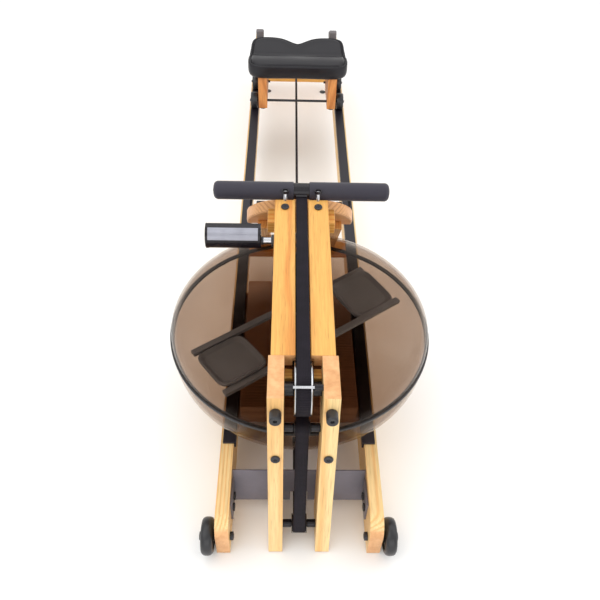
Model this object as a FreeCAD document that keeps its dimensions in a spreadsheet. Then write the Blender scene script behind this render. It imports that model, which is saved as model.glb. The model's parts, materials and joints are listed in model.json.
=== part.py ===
"""Water-resistance rowing machine, as separate pieces in one shared frame.

Frame: millimetres, +Z up, +Y towards the seat end, +X to the right of someone who
looks along +Y. The origin lies on the floor under the middle of the whole machine.
A "station" is a distance along Y behind the front faces of the legs and rails.
"""
import FreeCAD, Part
import math
import os

import Sketcher
from FreeCAD import Placement, Rotation, Vector

SIZES = {
    # whole machine
    "front_y": -1035.5, "floor_pad": 3, "plank": 27,
    # rails: two long planks on edge, level at the front and rising towards the rear
    "rail_length": 2090, "rail_inner": 138, "rail_front_height": 104, "rail_rise": 0.0552,
    "rail_flat": 70, "rail_corner": 40, "track_width": 27, "track_inner": 133.5,
    "track_thick": 5, "track_lip": 14, "track_start": 184, "track_end": 2088,
    "stop_width": 30, "stop_length": 22, "stop_height": 30, "stop_start": 2014,
    # legs: two leaning planks with broad heads that carry the pulleys
    "leg_inner": 33, "leg_thick": 28, "leg_lean": 0.157, "leg_foot": 2, "leg_top": 430,
    "leg_width_low": 96.6, "leg_back": 161.5,
    # beams: two flat planks from the legs' heads over the tank, with a gap for the belt
    "beam_inner": 13.4, "beam_width": 43.5, "beam_height": 32, "beam_rise": 0.0895,
    "beam_length": 407,
    # tank
    "tank_y": 393, "tank_radius": 280, "tank_seam": 255, "tank_base": 142, "tank_top": 350,
    "tank_wall": 4, "shaft_radius": 8, "deck_front": 258, "deck_length": 400,
    # belts and pulleys
    "belt_width": 24, "belt_thick": 2, "drum_width": 26, "drum_radius": 45,
    "flange_radius": 48, "flange_thick": 2.5, "drum_y": 125, "drum_z": 383.5,
    "idler_radius": 12, "idler_y": 91, "idler_z": 315, "low_radius": 16, "low_y": 40,
    "low_z": 51, "axle_radius": 5, "keeper_ahead": 29, "keeper_above": 42,
    "spool_base": 358, "spool_radius": 60,
    "spool_coil": 37, "spool_gap": 24.5, "spool_flange": 1.5,
    # handle
    "handle_t": 432, "handle_n": 2.9, "handle_length": 383, "grip_radius": 20,
    "core_radius": 11,
    # seat carriage, measured along the rails from the front, and up from the rails' tops
    "seat_front": 1460, "seat_depth": 218, "seat_width": 337, "seat_thick": 56,
    "seat_under": 126, "side_inner": 103, "side_thick": 29, "side_front": 1475,
    "side_length": 200, "side_under": 14.6, "seat_wheel": 27, "seat_wheel_width": 23,
    "seat_wheel_inner": 136, "seat_axle": 4,
    # transport wheels
    "wheel_radius": 37, "wheel_width": 24, "wheel_inner": 170, "wheel_y": 18, "wheel_z": 40,
    # footboard
    "board_y": 690, "board_z": 305, "board_angle": 130, "board_width": 256,
    "board_side": 23, "board_height": 147, "board_thick": 28,
    # monitor
    "monitor_y": 455, "monitor_z": 444, "monitor_length": 113, "monitor_inner": 84,
}
RUNNING_CLEARANCE = 0.05
RIGHT, LEFT = 1, -1
X_AXIS, Y_AXIS, Z_AXIS = Vector(1, 0, 0), Vector(0, 1, 0), Vector(0, 0, 1)

doc = FreeCAD.newDocument("RowingMachine")
finished = []


class Sheet:
    """The driving dimensions, as attributes that read the spreadsheet's cells."""

    def __init__(self, document, values):
        self.cells = document.addObject("Spreadsheet::Sheet", "Sizes")
        for row, (alias, value) in enumerate(values.items(), start=1):
            self.cells.set(f"A{row}", alias)
            self.cells.set(f"B{row}", str(value))
            self.cells.setAlias(f"B{row}", alias)
        document.recompute()

    def __getattr__(self, alias):
        return float(getattr(self.cells, alias))


S = Sheet(doc, SIZES)
RAIL_ANGLE = math.degrees(math.atan(S.rail_rise))
BEAM_ANGLE = math.degrees(math.atan(S.beam_rise))
LEG_ANGLE = math.degrees(math.atan(S.leg_lean))
RAIL_FRAME = Placement(Vector(0, S.front_y, S.rail_front_height), Rotation(X_AXIS, RAIL_ANGLE))
BEAM_FRAME = Placement(Vector(0, S.front_y + S.leg_back, S.leg_top), Rotation(X_AXIS, BEAM_ANGLE))
BOARD_FRAME = Placement(Vector(0, S.front_y + S.board_y, S.board_z),
                        Rotation(X_AXIS, S.board_angle))
HERE = Placement()
SIDEWAYS = Rotation(Y_AXIS, 90)


def at(station, x=0, z=0):
    """A point at a station behind the machine's front."""
    return Vector(x, S.front_y + station, z)


# ---------------------------------------------------------------- building blocks

def bind(item, **formulas):
    """Tie properties to sheet cells; a double underscore stands for a dot."""
    for name, formula in formulas.items():
        words = [("Sizes." + word if word in SIZES else word) for word in formula.split()]
        item.setExpression(name.replace("__", "."), " ".join(words))


def finish(item, label, frame=HERE):
    """Name a finished sub-part and put it in its place."""
    item.Label = label
    item.Placement = frame.multiply(item.Placement)
    finished.append(item)
    return item


def box(width, depth, height, corner, turn=Rotation()):
    """A block; each size is a formula over the sheet."""
    item = doc.addObject("Part::Box", "Block")
    bind(item, Length=width, Width=depth, Height=height)
    item.Placement = Placement(corner, turn)
    return item


def rod(radius, length, start, turn=Rotation()):
    """A cylinder along +Z before it is turned; both sizes are formulas."""
    item = doc.addObject("Part::Cylinder", "Rod")
    bind(item, Radius=radius, Height=length)
    item.Placement = Placement(start, turn)
    return item


def joined(items):
    """One solid from several."""
    item = doc.addObject("Part::MultiFuse", "Joined")
    item.Shapes = items
    item.Refine = True
    return item


def cut(base, tool):
    """A solid with another one taken out of it."""
    item = doc.addObject("Part::Cut", "Cut")
    item.Base = base
    item.Tool = tool
    return item


def group(items):
    """Separate solids that share a node."""
    item = doc.addObject("Part::Compound", "Group")
    item.Links = items
    return item


def formed(shape):
    """A shape made with Part's own functions."""
    item = doc.addObject("Part::Feature", "Formed")
    item.Shape = shape
    return item


def origin_plane(body, role):
    """One of a body's own origin planes."""
    return next(item for item in body.Origin.OriginFeatures if item.Role == role)


def outline_sketch(body, role, points, holes=()):
    """A closed outline with every corner fixed from the origin, and round holes.

    A coordinate is a number or a sheet alias, which stays tied to its cell."""
    sketch = body.newObject("Sketcher::SketchObject", "Outline")
    sketch.AttachmentSupport = (origin_plane(body, role), [""])
    sketch.MapMode = "FlatFace"
    corners = [Vector(*[getattr(S, value) if isinstance(value, str) else value
                        for value in point], 0) for point in points]
    count = len(corners)
    for index in range(count):
        sketch.addGeometry(Part.LineSegment(corners[index], corners[(index + 1) % count]))
    for index in range(count):
        sketch.addConstraint(Sketcher.Constraint("Coincident", index, 2, (index + 1) % count, 1))
    for index, (point, corner) in enumerate(zip(points, corners)):
        for kind, value, size in (("DistanceX", point[0], corner.x),
                                  ("DistanceY", point[1], corner.y)):
            number = sketch.addConstraint(Sketcher.Constraint(kind, -1, 1, index, 1, size))
            if isinstance(value, str):
                sketch.setExpression(f"Constraints[{number}]", f"Sizes.{value}")
    for first, second, radius in holes:
        ring = sketch.addGeometry(Part.Circle(Vector(first, second, 0), Z_AXIS, getattr(S, radius)))
        sketch.addConstraint(Sketcher.Constraint("DistanceX", -1, 1, ring, 3, first))
        sketch.addConstraint(Sketcher.Constraint("DistanceY", -1, 1, ring, 3, second))
        number = sketch.addConstraint(Sketcher.Constraint("Radius", ring, getattr(S, radius)))
        sketch.setExpression(f"Constraints[{number}]", f"Sizes.{radius}")
    return sketch


def plank(name, role, points, thickness, start, holes=()):
    """A padded outline; the pad's near face stands at start along its normal."""
    body = doc.addObject("PartDesign::Body", name)
    sketch = outline_sketch(body, role, points, holes)
    sketch.AttachmentOffset = Placement(Vector(0, 0, start), Rotation())
    pad = body.newObject("PartDesign::Pad", "Pad")
    pad.Profile = sketch
    bind(pad, Length=thickness)
    sketch.Visibility = False
    doc.recompute()
    return body


def spun(name, points, role="XZ_Plane", axis="V_Axis"):
    """A solid of revolution about its sketch's upright axis."""
    body = doc.addObject("PartDesign::Body", name)
    sketch = outline_sketch(body, role, points)
    turn = body.newObject("PartDesign::Revolution", "Turned")
    turn.Profile = sketch
    turn.ReferenceAxis = (sketch, [axis])
    turn.Angle = 360
    doc.recompute()
    return body


def rounded(body, radius, chosen):
    """Round the edges of a body's last feature that a test picks."""
    tip = body.Tip
    names = [f"Edge{number}" for number, edge in enumerate(tip.Shape.Edges, start=1) if chosen(edge)]
    fillet = body.newObject("PartDesign::Fillet", "Rounding")
    fillet.Base = (tip, names)
    bind(fillet, Radius=radius)
    doc.recompute()
    return body


def runs_along(edge, axis):
    """Whether a straight edge lies along an axis."""
    if not isinstance(edge.Curve, Part.Line):
        return False
    return abs(edge.tangentAt(edge.FirstParameter).dot(axis)) > 0.999


def side_name(side):
    return "left" if side == LEFT else "right"


def inner_face(side, inner, thick):
    """Where a mirrored plank's pad starts, so that it ends on the outer face."""
    return inner if side == RIGHT else -inner - thick


# ---------------------------------------------------------------- frame

def build_rails():
    far_top = S.rail_front_height + S.rail_rise * S.rail_length
    far_base = S.floor_pad + S.rail_rise * (S.rail_length - S.rail_flat)
    points = [(0, "floor_pad"), ("rail_flat", "floor_pad"), ("rail_length", far_base),
              ("rail_length", far_top), (0, "rail_front_height")]
    for side in (LEFT, RIGHT):
        rail = plank(f"Rail{side_name(side)}", "YZ_Plane", points, "plank",
                     inner_face(side, S.rail_inner, S.plank),
                     [(S.wheel_y, S.wheel_z, "axle_radius")])
        rounded(rail, "rail_corner",
                lambda edge: runs_along(edge, X_AXIS) and edge.CenterOfMass.y < 1
                and edge.CenterOfMass.z > S.rail_front_height - 1)
        finish(rail, f"{side_name(side)}_rail", Placement(at(0), Rotation()))


def build_tracks():
    """Running strips: a flat top with a lip down the rails' inner faces."""
    tracks = []
    lip = S.rail_inner - 0.5 - S.track_inner
    for side in (LEFT, RIGHT):
        inner, outer = S.track_inner, S.track_inner + S.track_width
        points = [(inner, -S.track_lip), (inner + lip, -S.track_lip), (inner + lip, 0),
                  (outer, 0), (outer, S.track_thick), (inner, "track_thick")]
        if side == LEFT:
            points = [(-x, z) for x, z in reversed(points)]
        body = plank(f"Track{side_name(side)}", "XZ_Plane", points, "track_end - track_start",
                     -S.track_end)
        tracks.append(body)
    finish(group(tracks), "seat_tracks", RAIL_FRAME)
    stops = []
    for side in (LEFT, RIGHT):
        middle = side * (S.track_inner + S.track_width / 2)
        stops.append(box("stop_width", "stop_length", "stop_height",
                         Vector(middle - S.stop_width / 2, S.stop_start, S.track_thick)))
    finish(group(stops), "end_stops", RAIL_FRAME)


def build_front_spacer():
    """A leaning steel plate behind the legs, flanged to both rails, notched for the strap."""
    half, thick = S.rail_inner, 4
    lean = Rotation(X_AXIS, -21)
    foot = at(100, -half, 33)
    plate = box("rail_inner * 2", f"{thick}", "76", foot, lean)
    notch = box("36", "20", "26", foot + Vector(half - 18, 0, 0) + lean.multVec(Vector(0, -6, -4)),
                lean)
    flanges = [box(f"{thick}", "58", "62", at(56, side * (half - thick / 2) - thick / 2, 34))
               for side in (LEFT, RIGHT)]
    finish(cut(joined([plate] + flanges), notch), "front_spacer")


def build_rear_foot():
    """The arched board that joins the rails' rear ends and stands under them on two feet."""
    station, height, arch, foot = 1985, 196, 50, 128
    outer = S.rail_inner + S.plank
    under = S.floor_pad + S.rail_rise * (station - S.rail_flat) - 0.2
    points = [(-outer, "floor_pad"), (-foot, "floor_pad"), (-foot, arch), (foot, arch),
              (foot, "floor_pad"), (outer, "floor_pad"), (outer, under), (S.rail_inner, under),
              (S.rail_inner, height), (-S.rail_inner, height), (-S.rail_inner, under),
              (-outer, under)]
    board = plank("RearFoot", "XZ_Plane", points, "plank", -S.plank)
    finish(board, "rear_foot", Placement(at(station), Rotation()))


def build_floor_pads():
    """Rubber pads under the legs, the rails' front ends and the rear foot."""
    places = [(side * (S.leg_inner + S.leg_thick / 2), 40) for side in (LEFT, RIGHT)]
    places += [(side * (S.rail_inner + S.plank / 2), 42) for side in (LEFT, RIGHT)]
    places += [(side * (S.rail_inner - 22), 1985 + S.plank / 2) for side in (LEFT, RIGHT)]
    pads = [rod("plank * 0.45", "floor_pad", at(station, x)) for x, station in places]
    finish(group(pads), "floor_pads")


def leg_front(z):
    return S.leg_foot + S.leg_lean * z


def build_legs():
    """Leaning planks, slim below and broad at the head, clear of the round tank."""
    low = S.floor_pad
    points = [(leg_front(low), "floor_pad"), (leg_front(low) + S.leg_width_low, "floor_pad"),
              (107, 262), (112, 300), (136, 326), ("leg_back", 358),
              ("leg_back", "leg_top"), (leg_front(S.leg_top), "leg_top")]
    axles = [(S.drum_y, S.drum_z, "axle_radius"), (S.idler_y, S.idler_z, "axle_radius"),
             (S.low_y, S.low_z, "axle_radius")]
    for side in (LEFT, RIGHT):
        leg = plank(f"Leg{side_name(side)}", "YZ_Plane", points, "leg_thick",
                    inner_face(side, S.leg_inner, S.leg_thick), axles)
        finish(leg, f"{side_name(side)}_leg", Placement(at(0), Rotation()))


def build_leg_fittings():
    """Protruding rubber bumpers on the legs' fronts, for storing the machine upright."""
    bumpers = []
    height, length = 398, 22
    out = Rotation(X_AXIS, 90 - LEG_ANGLE)
    for side in (LEFT, RIGHT):
        middle = side * (S.leg_inner + S.leg_thick / 2)
        bumper = rod("floor_pad * 3.4", f"{length}", at(leg_front(height), middle, height), out)
        socket = rod("floor_pad", "6", at(leg_front(height), middle, height)
                     + out.multVec(Vector(0, 0, length - 5)), out)
        bumpers.append(cut(bumper, socket))
    finish(group(bumpers), "leg_bumpers")


def socket_bolt(point, turn):
    """A button-head bolt with a round socket, head up before it is turned."""
    head = rod("8.5", "4", point, turn)
    socket = rod("3.2", "4", point + turn.multVec(Vector(0, 0, 1.6)), turn)
    return cut(head, socket)


def build_bolts():
    """Identical button-head bolts through the legs, beams, spacer flanges and rear foot."""
    bolts = []
    for side in (LEFT, RIGHT):
        leg = side * (S.leg_inner + S.leg_thick / 2)
        bolts.append(socket_bolt(at(leg_front(284), leg, 284), Rotation(X_AXIS, 90 - LEG_ANGLE)))
        beam = side * (S.beam_inner + S.beam_width / 2)
        bolts.append(socket_bolt(BEAM_FRAME.multVec(Vector(beam, 382, 0)), BEAM_FRAME.Rotation))
        inward = Rotation(Y_AXIS, -90 * side)
        for station in (68, 92):
            bolts.append(socket_bolt(at(station, side * (S.rail_inner - 4), 64), inward))
        outward = Rotation(Y_AXIS, 90 * side)
        for z in (130, 180):
            place = at(1985 + S.plank / 2, side * (S.rail_inner + S.plank), z)
            bolts.append(socket_bolt(place, outward))
    finish(group(bolts), "socket_bolts")


def build_beams():
    """Flat planks whose inner corners are relieved round the top pulley."""
    for side in (LEFT, RIGHT):
        corner = S.beam_inner if side == RIGHT else -S.beam_inner - S.beam_width
        blank = box("beam_width", "beam_length", "beam_height",
                    BEAM_FRAME.multVec(Vector(corner, 0, -S.beam_height)), BEAM_FRAME.Rotation)
        relief = rod("flange_radius + 4", "37", at(S.drum_y, -18.5, S.drum_z), SIDEWAYS)
        finish(cut(blank, relief), f"{side_name(side)}_beam")


def build_cross_blocks():
    """Blocks beside the top pulley, and the one under the beams' rear ends."""
    low, high, front = 341, 394, 140
    blocks = [box(f"{S.leg_inner - 18.5}", "leg_back - 140", f"{high - low}",
                  at(front, 18.5 if side == RIGHT else -S.leg_inner, low))
              for side in (LEFT, RIGHT)]
    blocks.append(box("146", "45", "32", BEAM_FRAME.multVec(Vector(-73, 370, -S.beam_height - 32)),
                      BEAM_FRAME.Rotation))
    finish(group(blocks), "cross_blocks")


def build_tank_deck():
    """The long stepped board between the rails that carries the tank."""
    wide, narrow, low, step, top = S.rail_inner, 128, 84, 98, S.tank_base - 0.5
    points = [(-wide, low), (wide, low), (wide, step), (narrow, step), (narrow, top),
              (-narrow, top), (-narrow, step), (-wide, step)]
    board = plank("DeckBoard", "XZ_Plane", points, "deck_length", -S.deck_length)
    finish(board, "tank_deck", Placement(at(S.deck_front), Rotation()))


def build_footboard():
    """An arched thick board, leaning back over its two struts."""
    half = S.board_width / 2
    body = doc.addObject("PartDesign::Body", "Footboard")
    sketch = body.newObject("Sketcher::SketchObject", "Outline")
    sketch.AttachmentSupport = (origin_plane(body, "XY_Plane"), [""])
    sketch.MapMode = "FlatFace"
    corners = [Vector(-half, S.board_side, 0), Vector(-half, 0, 0), Vector(half, 0, 0),
               Vector(half, S.board_side, 0)]
    for start, end in zip(corners, corners[1:]):
        sketch.addGeometry(Part.LineSegment(start, end))
    sketch.addGeometry(Part.Arc(corners[3], Vector(0, S.board_height, 0), corners[0]))
    for index in (0, 1):
        sketch.addConstraint(Sketcher.Constraint("Coincident", index, 2, index + 1, 1))
    sketch.addConstraint(Sketcher.Constraint("Coincident", 2, 2, 3, 1))
    sketch.addConstraint(Sketcher.Constraint("Coincident", 3, 2, 0, 1))
    width = sketch.addConstraint(Sketcher.Constraint("DistanceX", 1, 1, 1, 2, S.board_width))
    sketch.setExpression(f"Constraints[{width}]", "Sizes.board_width")
    pad = body.newObject("PartDesign::Pad", "Pad")
    pad.Profile = sketch
    pad.Reversed = True
    bind(pad, Length="board_thick")
    doc.recompute()
    finish(body, "footboard", BOARD_FRAME)


def build_struts():
    """Struts that carry the footboard, and the bar they stand on between the rails."""
    slope = math.tan(math.radians(90 - (180 - S.board_angle)))
    depth, foot, top = 24, 118, 335
    normal = Vector(0, math.sin(math.radians(S.board_angle)), -math.cos(math.radians(S.board_angle)))

    def station(z, offset):
        base_y = S.board_y - offset * normal.y
        base_z = S.board_z - offset * normal.z
        return base_y + (base_z - z) * slope

    points = [(station(foot, depth), foot), (station(foot, 0), foot), (station(top, 0), top),
              (station(top, depth), top)]
    struts = [plank("Strut", "YZ_Plane", points, "plank", inner_face(side, 73, S.plank))
              for side in (LEFT, RIGHT)]
    finish(group(struts), "footboard_struts", Placement(at(0), Rotation()))
    bar = box("rail_inner * 2", "46", "24", at(808, -S.rail_inner, 94))
    finish(bar, "strut_crossbar")


def build_foot_straps():
    """A flat strap arched over each half of the footboard."""
    straps = []
    width, thick, rise, along = 60, 2.4, 62, 58
    for side in (LEFT, RIGHT):
        middle = side * 66
        outer = rod(f"{width / 2 + 22}", "25", Vector(middle, along, -S.board_thick),
                    Rotation(X_AXIS, -90))
        hollow = rod(f"{width / 2 + 22 - thick}", "25", Vector(middle, along, -S.board_thick),
                     Rotation(X_AXIS, -90))
        arch = cut(outer, hollow)
        keep = box("140", "40", f"{rise + 10}", Vector(middle - 70, along - 5,
                                                       -S.board_thick - rise - 10))
        half = doc.addObject("Part::Common", "Arch")
        half.Base = arch
        half.Tool = keep
        straps.append(half)
    finish(group(straps), "foot_straps", BOARD_FRAME)


def build_heel_rests():
    """Moulded heel cups that slide up and down the footboard's face."""
    gap = 0.4
    for side in (LEFT, RIGHT):
        middle = side * 66
        face = -S.board_thick - gap
        plate = box("84", "96", "6", Vector(middle - 42, -34, face - 6))
        cup = box("84", "7", "34", Vector(middle - 42, -34, face - 36))
        finish(joined([plate, cup]), f"{side_name(side)}_heel_rest", BOARD_FRAME)


# ---------------------------------------------------------------- tank and rotor

def bowl(top, low, flat, power, count=9):
    """Points of a rounded bowl's section from its rim to its flat end."""
    points = []
    for step in range(count):
        turn = math.pi / 2 * step / (count - 1)
        reach = math.cos(turn) ** (2 / power)
        points.append((flat + (S.tank_radius - 3 - flat) * reach,
                       top + (low - top) * math.sin(turn) ** (2 / power)))
    return points


def shell(rim, end, flat, power, hole):
    """A thin revolved shell with a smooth wall and a round hole in the middle of its end."""
    outside = bowl(rim, end, flat, power)
    inside = [(x - S.tank_wall, z) for x, z in bowl(rim, end + math.copysign(S.tank_wall, rim - end),
                                                    flat, power)]
    curve_out, curve_in = Part.BSplineCurve(), Part.BSplineCurve()
    curve_out.interpolate([Vector(x, 0, z) for x, z in outside])
    curve_in.interpolate([Vector(x, 0, z) for x, z in reversed(inside)])
    edges = [curve_out.toShape(),
             Part.makeLine(Vector(outside[-1][0], 0, outside[-1][1]),
                           Vector(hole, 0, outside[-1][1])),
             Part.makeLine(Vector(hole, 0, outside[-1][1]), Vector(hole, 0, inside[-1][1])),
             Part.makeLine(Vector(hole, 0, inside[-1][1]), Vector(inside[-1][0], 0, inside[-1][1])),
             curve_in.toShape(),
             Part.makeLine(Vector(inside[0][0], 0, inside[0][1]),
                           Vector(outside[0][0], 0, outside[0][1]))]
    face = Part.Face(Part.Wire(edges))
    return face.revolve(Vector(), Z_AXIS, 360)


def build_tank():
    seam, bearing = S.tank_seam, 22
    lower = shell(seam - 3, S.tank_base, 170, 2.8, bearing)
    finish(formed(lower), "tank_lower_shell", Placement(at(S.tank_y), Rotation()))
    upper = shell(seam + 3, S.tank_top, 100, 2.4, bearing)
    plug_y = 112
    upper = upper.cut(Part.makeCylinder(15, 60, Vector(0, plug_y, S.tank_top - 30)))
    finish(formed(upper), "tank_upper_shell", Placement(at(S.tank_y), Rotation()))
    rim, wall = S.tank_radius, 9
    gasket = spun("Gasket", [(rim - wall, seam - 3), ("tank_radius", seam - 3),
                             ("tank_radius", seam + 3), (rim - wall, seam + 3)])
    finish(gasket, "tank_gasket", Placement(at(S.tank_y), Rotation()))
    cap = rod("21", "5", Vector(0, plug_y, S.tank_top + 0.5))
    stem = rod("14.7", "14", Vector(0, plug_y, S.tank_top - 13))
    finish(joined([cap, stem]), "fill_plug", Placement(at(S.tank_y), Rotation()))


def build_bearings():
    """A flanged bearing in each end of the tank, round the rotor's shaft."""
    bore = S.shaft_radius + RUNNING_CLEARANCE
    low, high = S.tank_base, S.tank_top
    lower = spun("LowBearing", [(bore, low + 0.2), (22, low + 0.2), (22, low + 4),
                                (28, low + 4), (28, low + 9), (bore, low + 9)])
    upper = spun("TopBearing", [(bore, high - 9), (28, high - 9), (28, high - 4),
                                (22, high - 4), (22, high + 4), (bore, high + 4)])
    finish(group([lower, upper]), "shaft_bearings", Placement(at(S.tank_y), Rotation()))


def build_rotor():
    shaft = rod("shaft_radius", f"{S.spool_base + 52 - S.tank_base - 1}",
                at(S.tank_y, 0, S.tank_base + 1))
    finish(shaft, "rotor_shaft")
    turn, level = 35.6, 252
    hub = rod("26", "100", Vector(0, 0, level - 84))
    parts = [hub]
    reach, spread, bar_width, bar_thick, blade, pitch = 231, 70, 14, 9, 114, 6
    for offset in (-spread, spread - bar_width):
        parts.append(box(f"{2 * reach}", f"{bar_width}", f"{bar_thick}",
                         Vector(-reach, offset, level)))
    parts.append(box("52", f"{2 * spread}", f"{bar_thick}", Vector(-26, -spread, level)))
    for end in (LEFT, RIGHT):
        tilt = Rotation(X_AXIS, pitch * end)
        middle = Vector(end * (reach - blade / 2), 0, level + bar_thick / 2)
        corner = middle + tilt.multVec(Vector(-blade / 2, -spread + 12, -3))
        parts.append(box(f"{blade}", f"{2 * spread - 24}", "6", corner, tilt))
    bore = rod("shaft_radius", "200", Vector(0, 0, level - 120))
    paddle = cut(joined(parts), bore)
    finish(paddle, "rotor_paddle", Placement(at(S.tank_y), Rotation(Z_AXIS, turn)))


def build_spool():
    """Three flanges with two winding bands, one for each belt, on a one-way hub."""
    bore, coil, rim = S.shaft_radius + RUNNING_CLEARANCE, S.spool_coil, S.spool_radius
    z = S.spool_base
    points = [(bore, z)]
    for _ in range(2):
        points += [(rim, z), (rim, z + S.spool_flange), (coil, z + S.spool_flange)]
        z += S.spool_flange + S.spool_gap
        points.append((coil, z))
    points += [(rim, z), (rim, z + S.spool_flange), (bore, z + S.spool_flange)]
    finish(spun("Spool", points), "belt_spool", Placement(at(S.tank_y), Rotation()))


# ---------------------------------------------------------------- belts and pulleys

def pulley(name, radius, rim, width, flange, bore):
    """A flanged roller that turns about its own X axis."""
    half = width / 2
    points = [(bore, -half - flange), (rim, -half - flange), (rim, -half), (radius, -half),
              (radius, half), (rim, half), (rim, half + flange), (bore, half + flange)]
    return spun(name, points)


def build_pulleys():
    bore = S.axle_radius + RUNNING_CLEARANCE
    rollers = (("top_pulley", S.drum_radius, S.flange_radius, S.drum_y, S.drum_z, S.flange_thick),
               ("idler_roller", S.idler_radius, S.idler_radius + 2.5, S.idler_y, S.idler_z, 1.5),
               ("lower_pulley", S.low_radius, S.low_radius + 3, S.low_y, S.low_z, 2))
    for label, radius, rim, y, z, flange in rollers:
        body = pulley(label.title().replace("_", ""), radius, rim, S.drum_width, flange, bore)
        finish(body, label, Placement(at(y, 0, z), SIDEWAYS))
    reach = S.leg_inner + S.leg_thick
    axles = [rod("axle_radius", f"{2 * reach}", at(y, -reach, z), SIDEWAYS)
             for y, z in ((S.drum_y, S.drum_z), (S.idler_y, S.idler_z), (S.low_y, S.low_z))]
    keeper = at(S.drum_y - S.keeper_ahead, -S.leg_inner, S.drum_z + S.keeper_above)
    axles.append(rod("2.5", "leg_inner * 2", keeper, SIDEWAYS))
    finish(group(axles), "pulley_axles")
    build_collars()


def build_collars():
    """Spacer collars on the axles, between each roller and the legs."""
    collars = []
    for y, z, start, radius in ((S.drum_y, S.drum_z, S.drum_width / 2 + S.flange_thick, 13),
                                (S.idler_y, S.idler_z, S.drum_width / 2 + 1.5, 8),
                                (S.low_y, S.low_z, S.drum_width / 2 + 2, 8)):
        start += 0.4
        for side in (LEFT, RIGHT):
            x = start if side == RIGHT else -S.leg_inner
            length = f"{S.leg_inner - start}"
            ring = rod(f"{radius}", length, at(y, x, z), SIDEWAYS)
            bore = rod("axle_radius", length, at(y, x, z), SIDEWAYS)
            collars.append(cut(ring, bore))
    finish(group(collars), "axle_collars")


def tangent_points(first, second, sign_first, sign_second):
    """Where a straight run leaves one circle and meets the next, in the (station, z) plane.

    Each circle is (station, z, radius); its sign is +1 when the run passes on the
    left-hand side of the line from the first centre to the second."""
    dy, dz = second[0] - first[0], second[1] - first[1]
    span = math.hypot(dy, dz)
    offset = sign_first * first[2] - sign_second * second[2]
    swing = math.asin(offset / span)
    heading = math.atan2(dz, dy) - swing
    across = (-math.sin(heading), math.cos(heading))
    return ((first[0] + sign_first * first[2] * across[0],
             first[1] + sign_first * first[2] * across[1]),
            (second[0] + sign_second * second[2] * across[0],
             second[1] + sign_second * second[2] * across[1]))


def point_on(circle, towards):
    """The point of a circle that lies in a given direction from its centre."""
    angle = math.atan2(towards[1], towards[0])
    return (circle[0] + circle[2] * math.cos(angle), circle[1] + circle[2] * math.sin(angle))


def ribbon(edges):
    """A flat belt as wide as belt_width round a path in the (station, z) plane."""
    wire = Part.Wire(edges)
    half, thin = S.belt_width / 2, S.belt_thick / 2
    start = edges[0].valueAt(edges[0].FirstParameter)
    along = edges[0].tangentAt(edges[0].FirstParameter)
    across = X_AXIS.cross(along).normalize()
    corners = [start + X_AXIS * (side * half) + across * (face * thin)
               for side, face in ((-1, -1), (1, -1), (1, 1), (-1, 1))]
    section = Part.makePolygon(corners + corners[:1])
    return wire.makePipeShell([section], True, False, 1)


def line(a, b):
    return Part.makeLine(at(a[0], 0, a[1]), at(b[0], 0, b[1]))


def arc(a, middle, b):
    return Part.Arc(at(a[0], 0, a[1]), at(middle[0], 0, middle[1]), at(b[0], 0, b[1])).toShape()


def twisted_run(start, end, count=7):
    """The stretch where a belt turns from flat to upright before the spool's rim."""
    along = end - start
    half, thin = S.belt_width / 2, S.belt_thick / 2
    sections = []
    for step in range(count):
        part = step / (count - 1)
        turn = math.pi / 2 * (3 * part ** 2 - 2 * part ** 3)
        forward = Vector(along).normalize()
        flat = X_AXIS - forward * X_AXIS.dot(forward)
        flat.normalize()
        up = forward.cross(flat) * -1
        wide = flat * math.cos(turn) + up * math.sin(turn)
        deep = forward.cross(wide)
        centre = start + along * part
        corners = [centre + wide * (a * half) + deep * (b * thin)
                   for a, b in ((-1, -1), (1, -1), (1, 1), (-1, 1))]
        sections.append(Part.makePolygon(corners + corners[:1]))
    return Part.makeLoft(sections, True, True)


def upright_run(start, end):
    """The last stretch of a belt, on edge between the spool's flanges."""
    half, thin = S.belt_width / 2, S.belt_thick / 2
    deep = (end - start).cross(Z_AXIS).normalize()
    corners = [start + Z_AXIS * (a * half) + deep * (b * thin)
               for a, b in ((-1, -1), (1, -1), (1, 1), (-1, 1))]
    return Part.Face(Part.makePolygon(corners + corners[:1])).extrude(end - start)


def run_to_spool(start, side, band):
    """A belt's way from its flat stretch to its band of the spool, twisted a quarter turn."""
    goal = belt_to_spool(side, band)
    rim = S.tank_y - S.spool_radius + 2
    part = (rim - start.y + S.front_y) / (goal.y - start.y)
    gate = Vector(goal.x * part, rim + S.front_y, goal.z)
    return twisted_run(start, gate), upright_run(gate, goal)


def belt_to_spool(side, band):
    """Where a belt meets its band of the spool, on one side of the shaft."""
    z = S.spool_base + S.spool_flange + S.spool_gap / 2 + band * (S.spool_gap + S.spool_flange)
    return at(S.tank_y, side * (S.spool_coil + S.belt_thick / 2 + 1.8), z)


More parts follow.
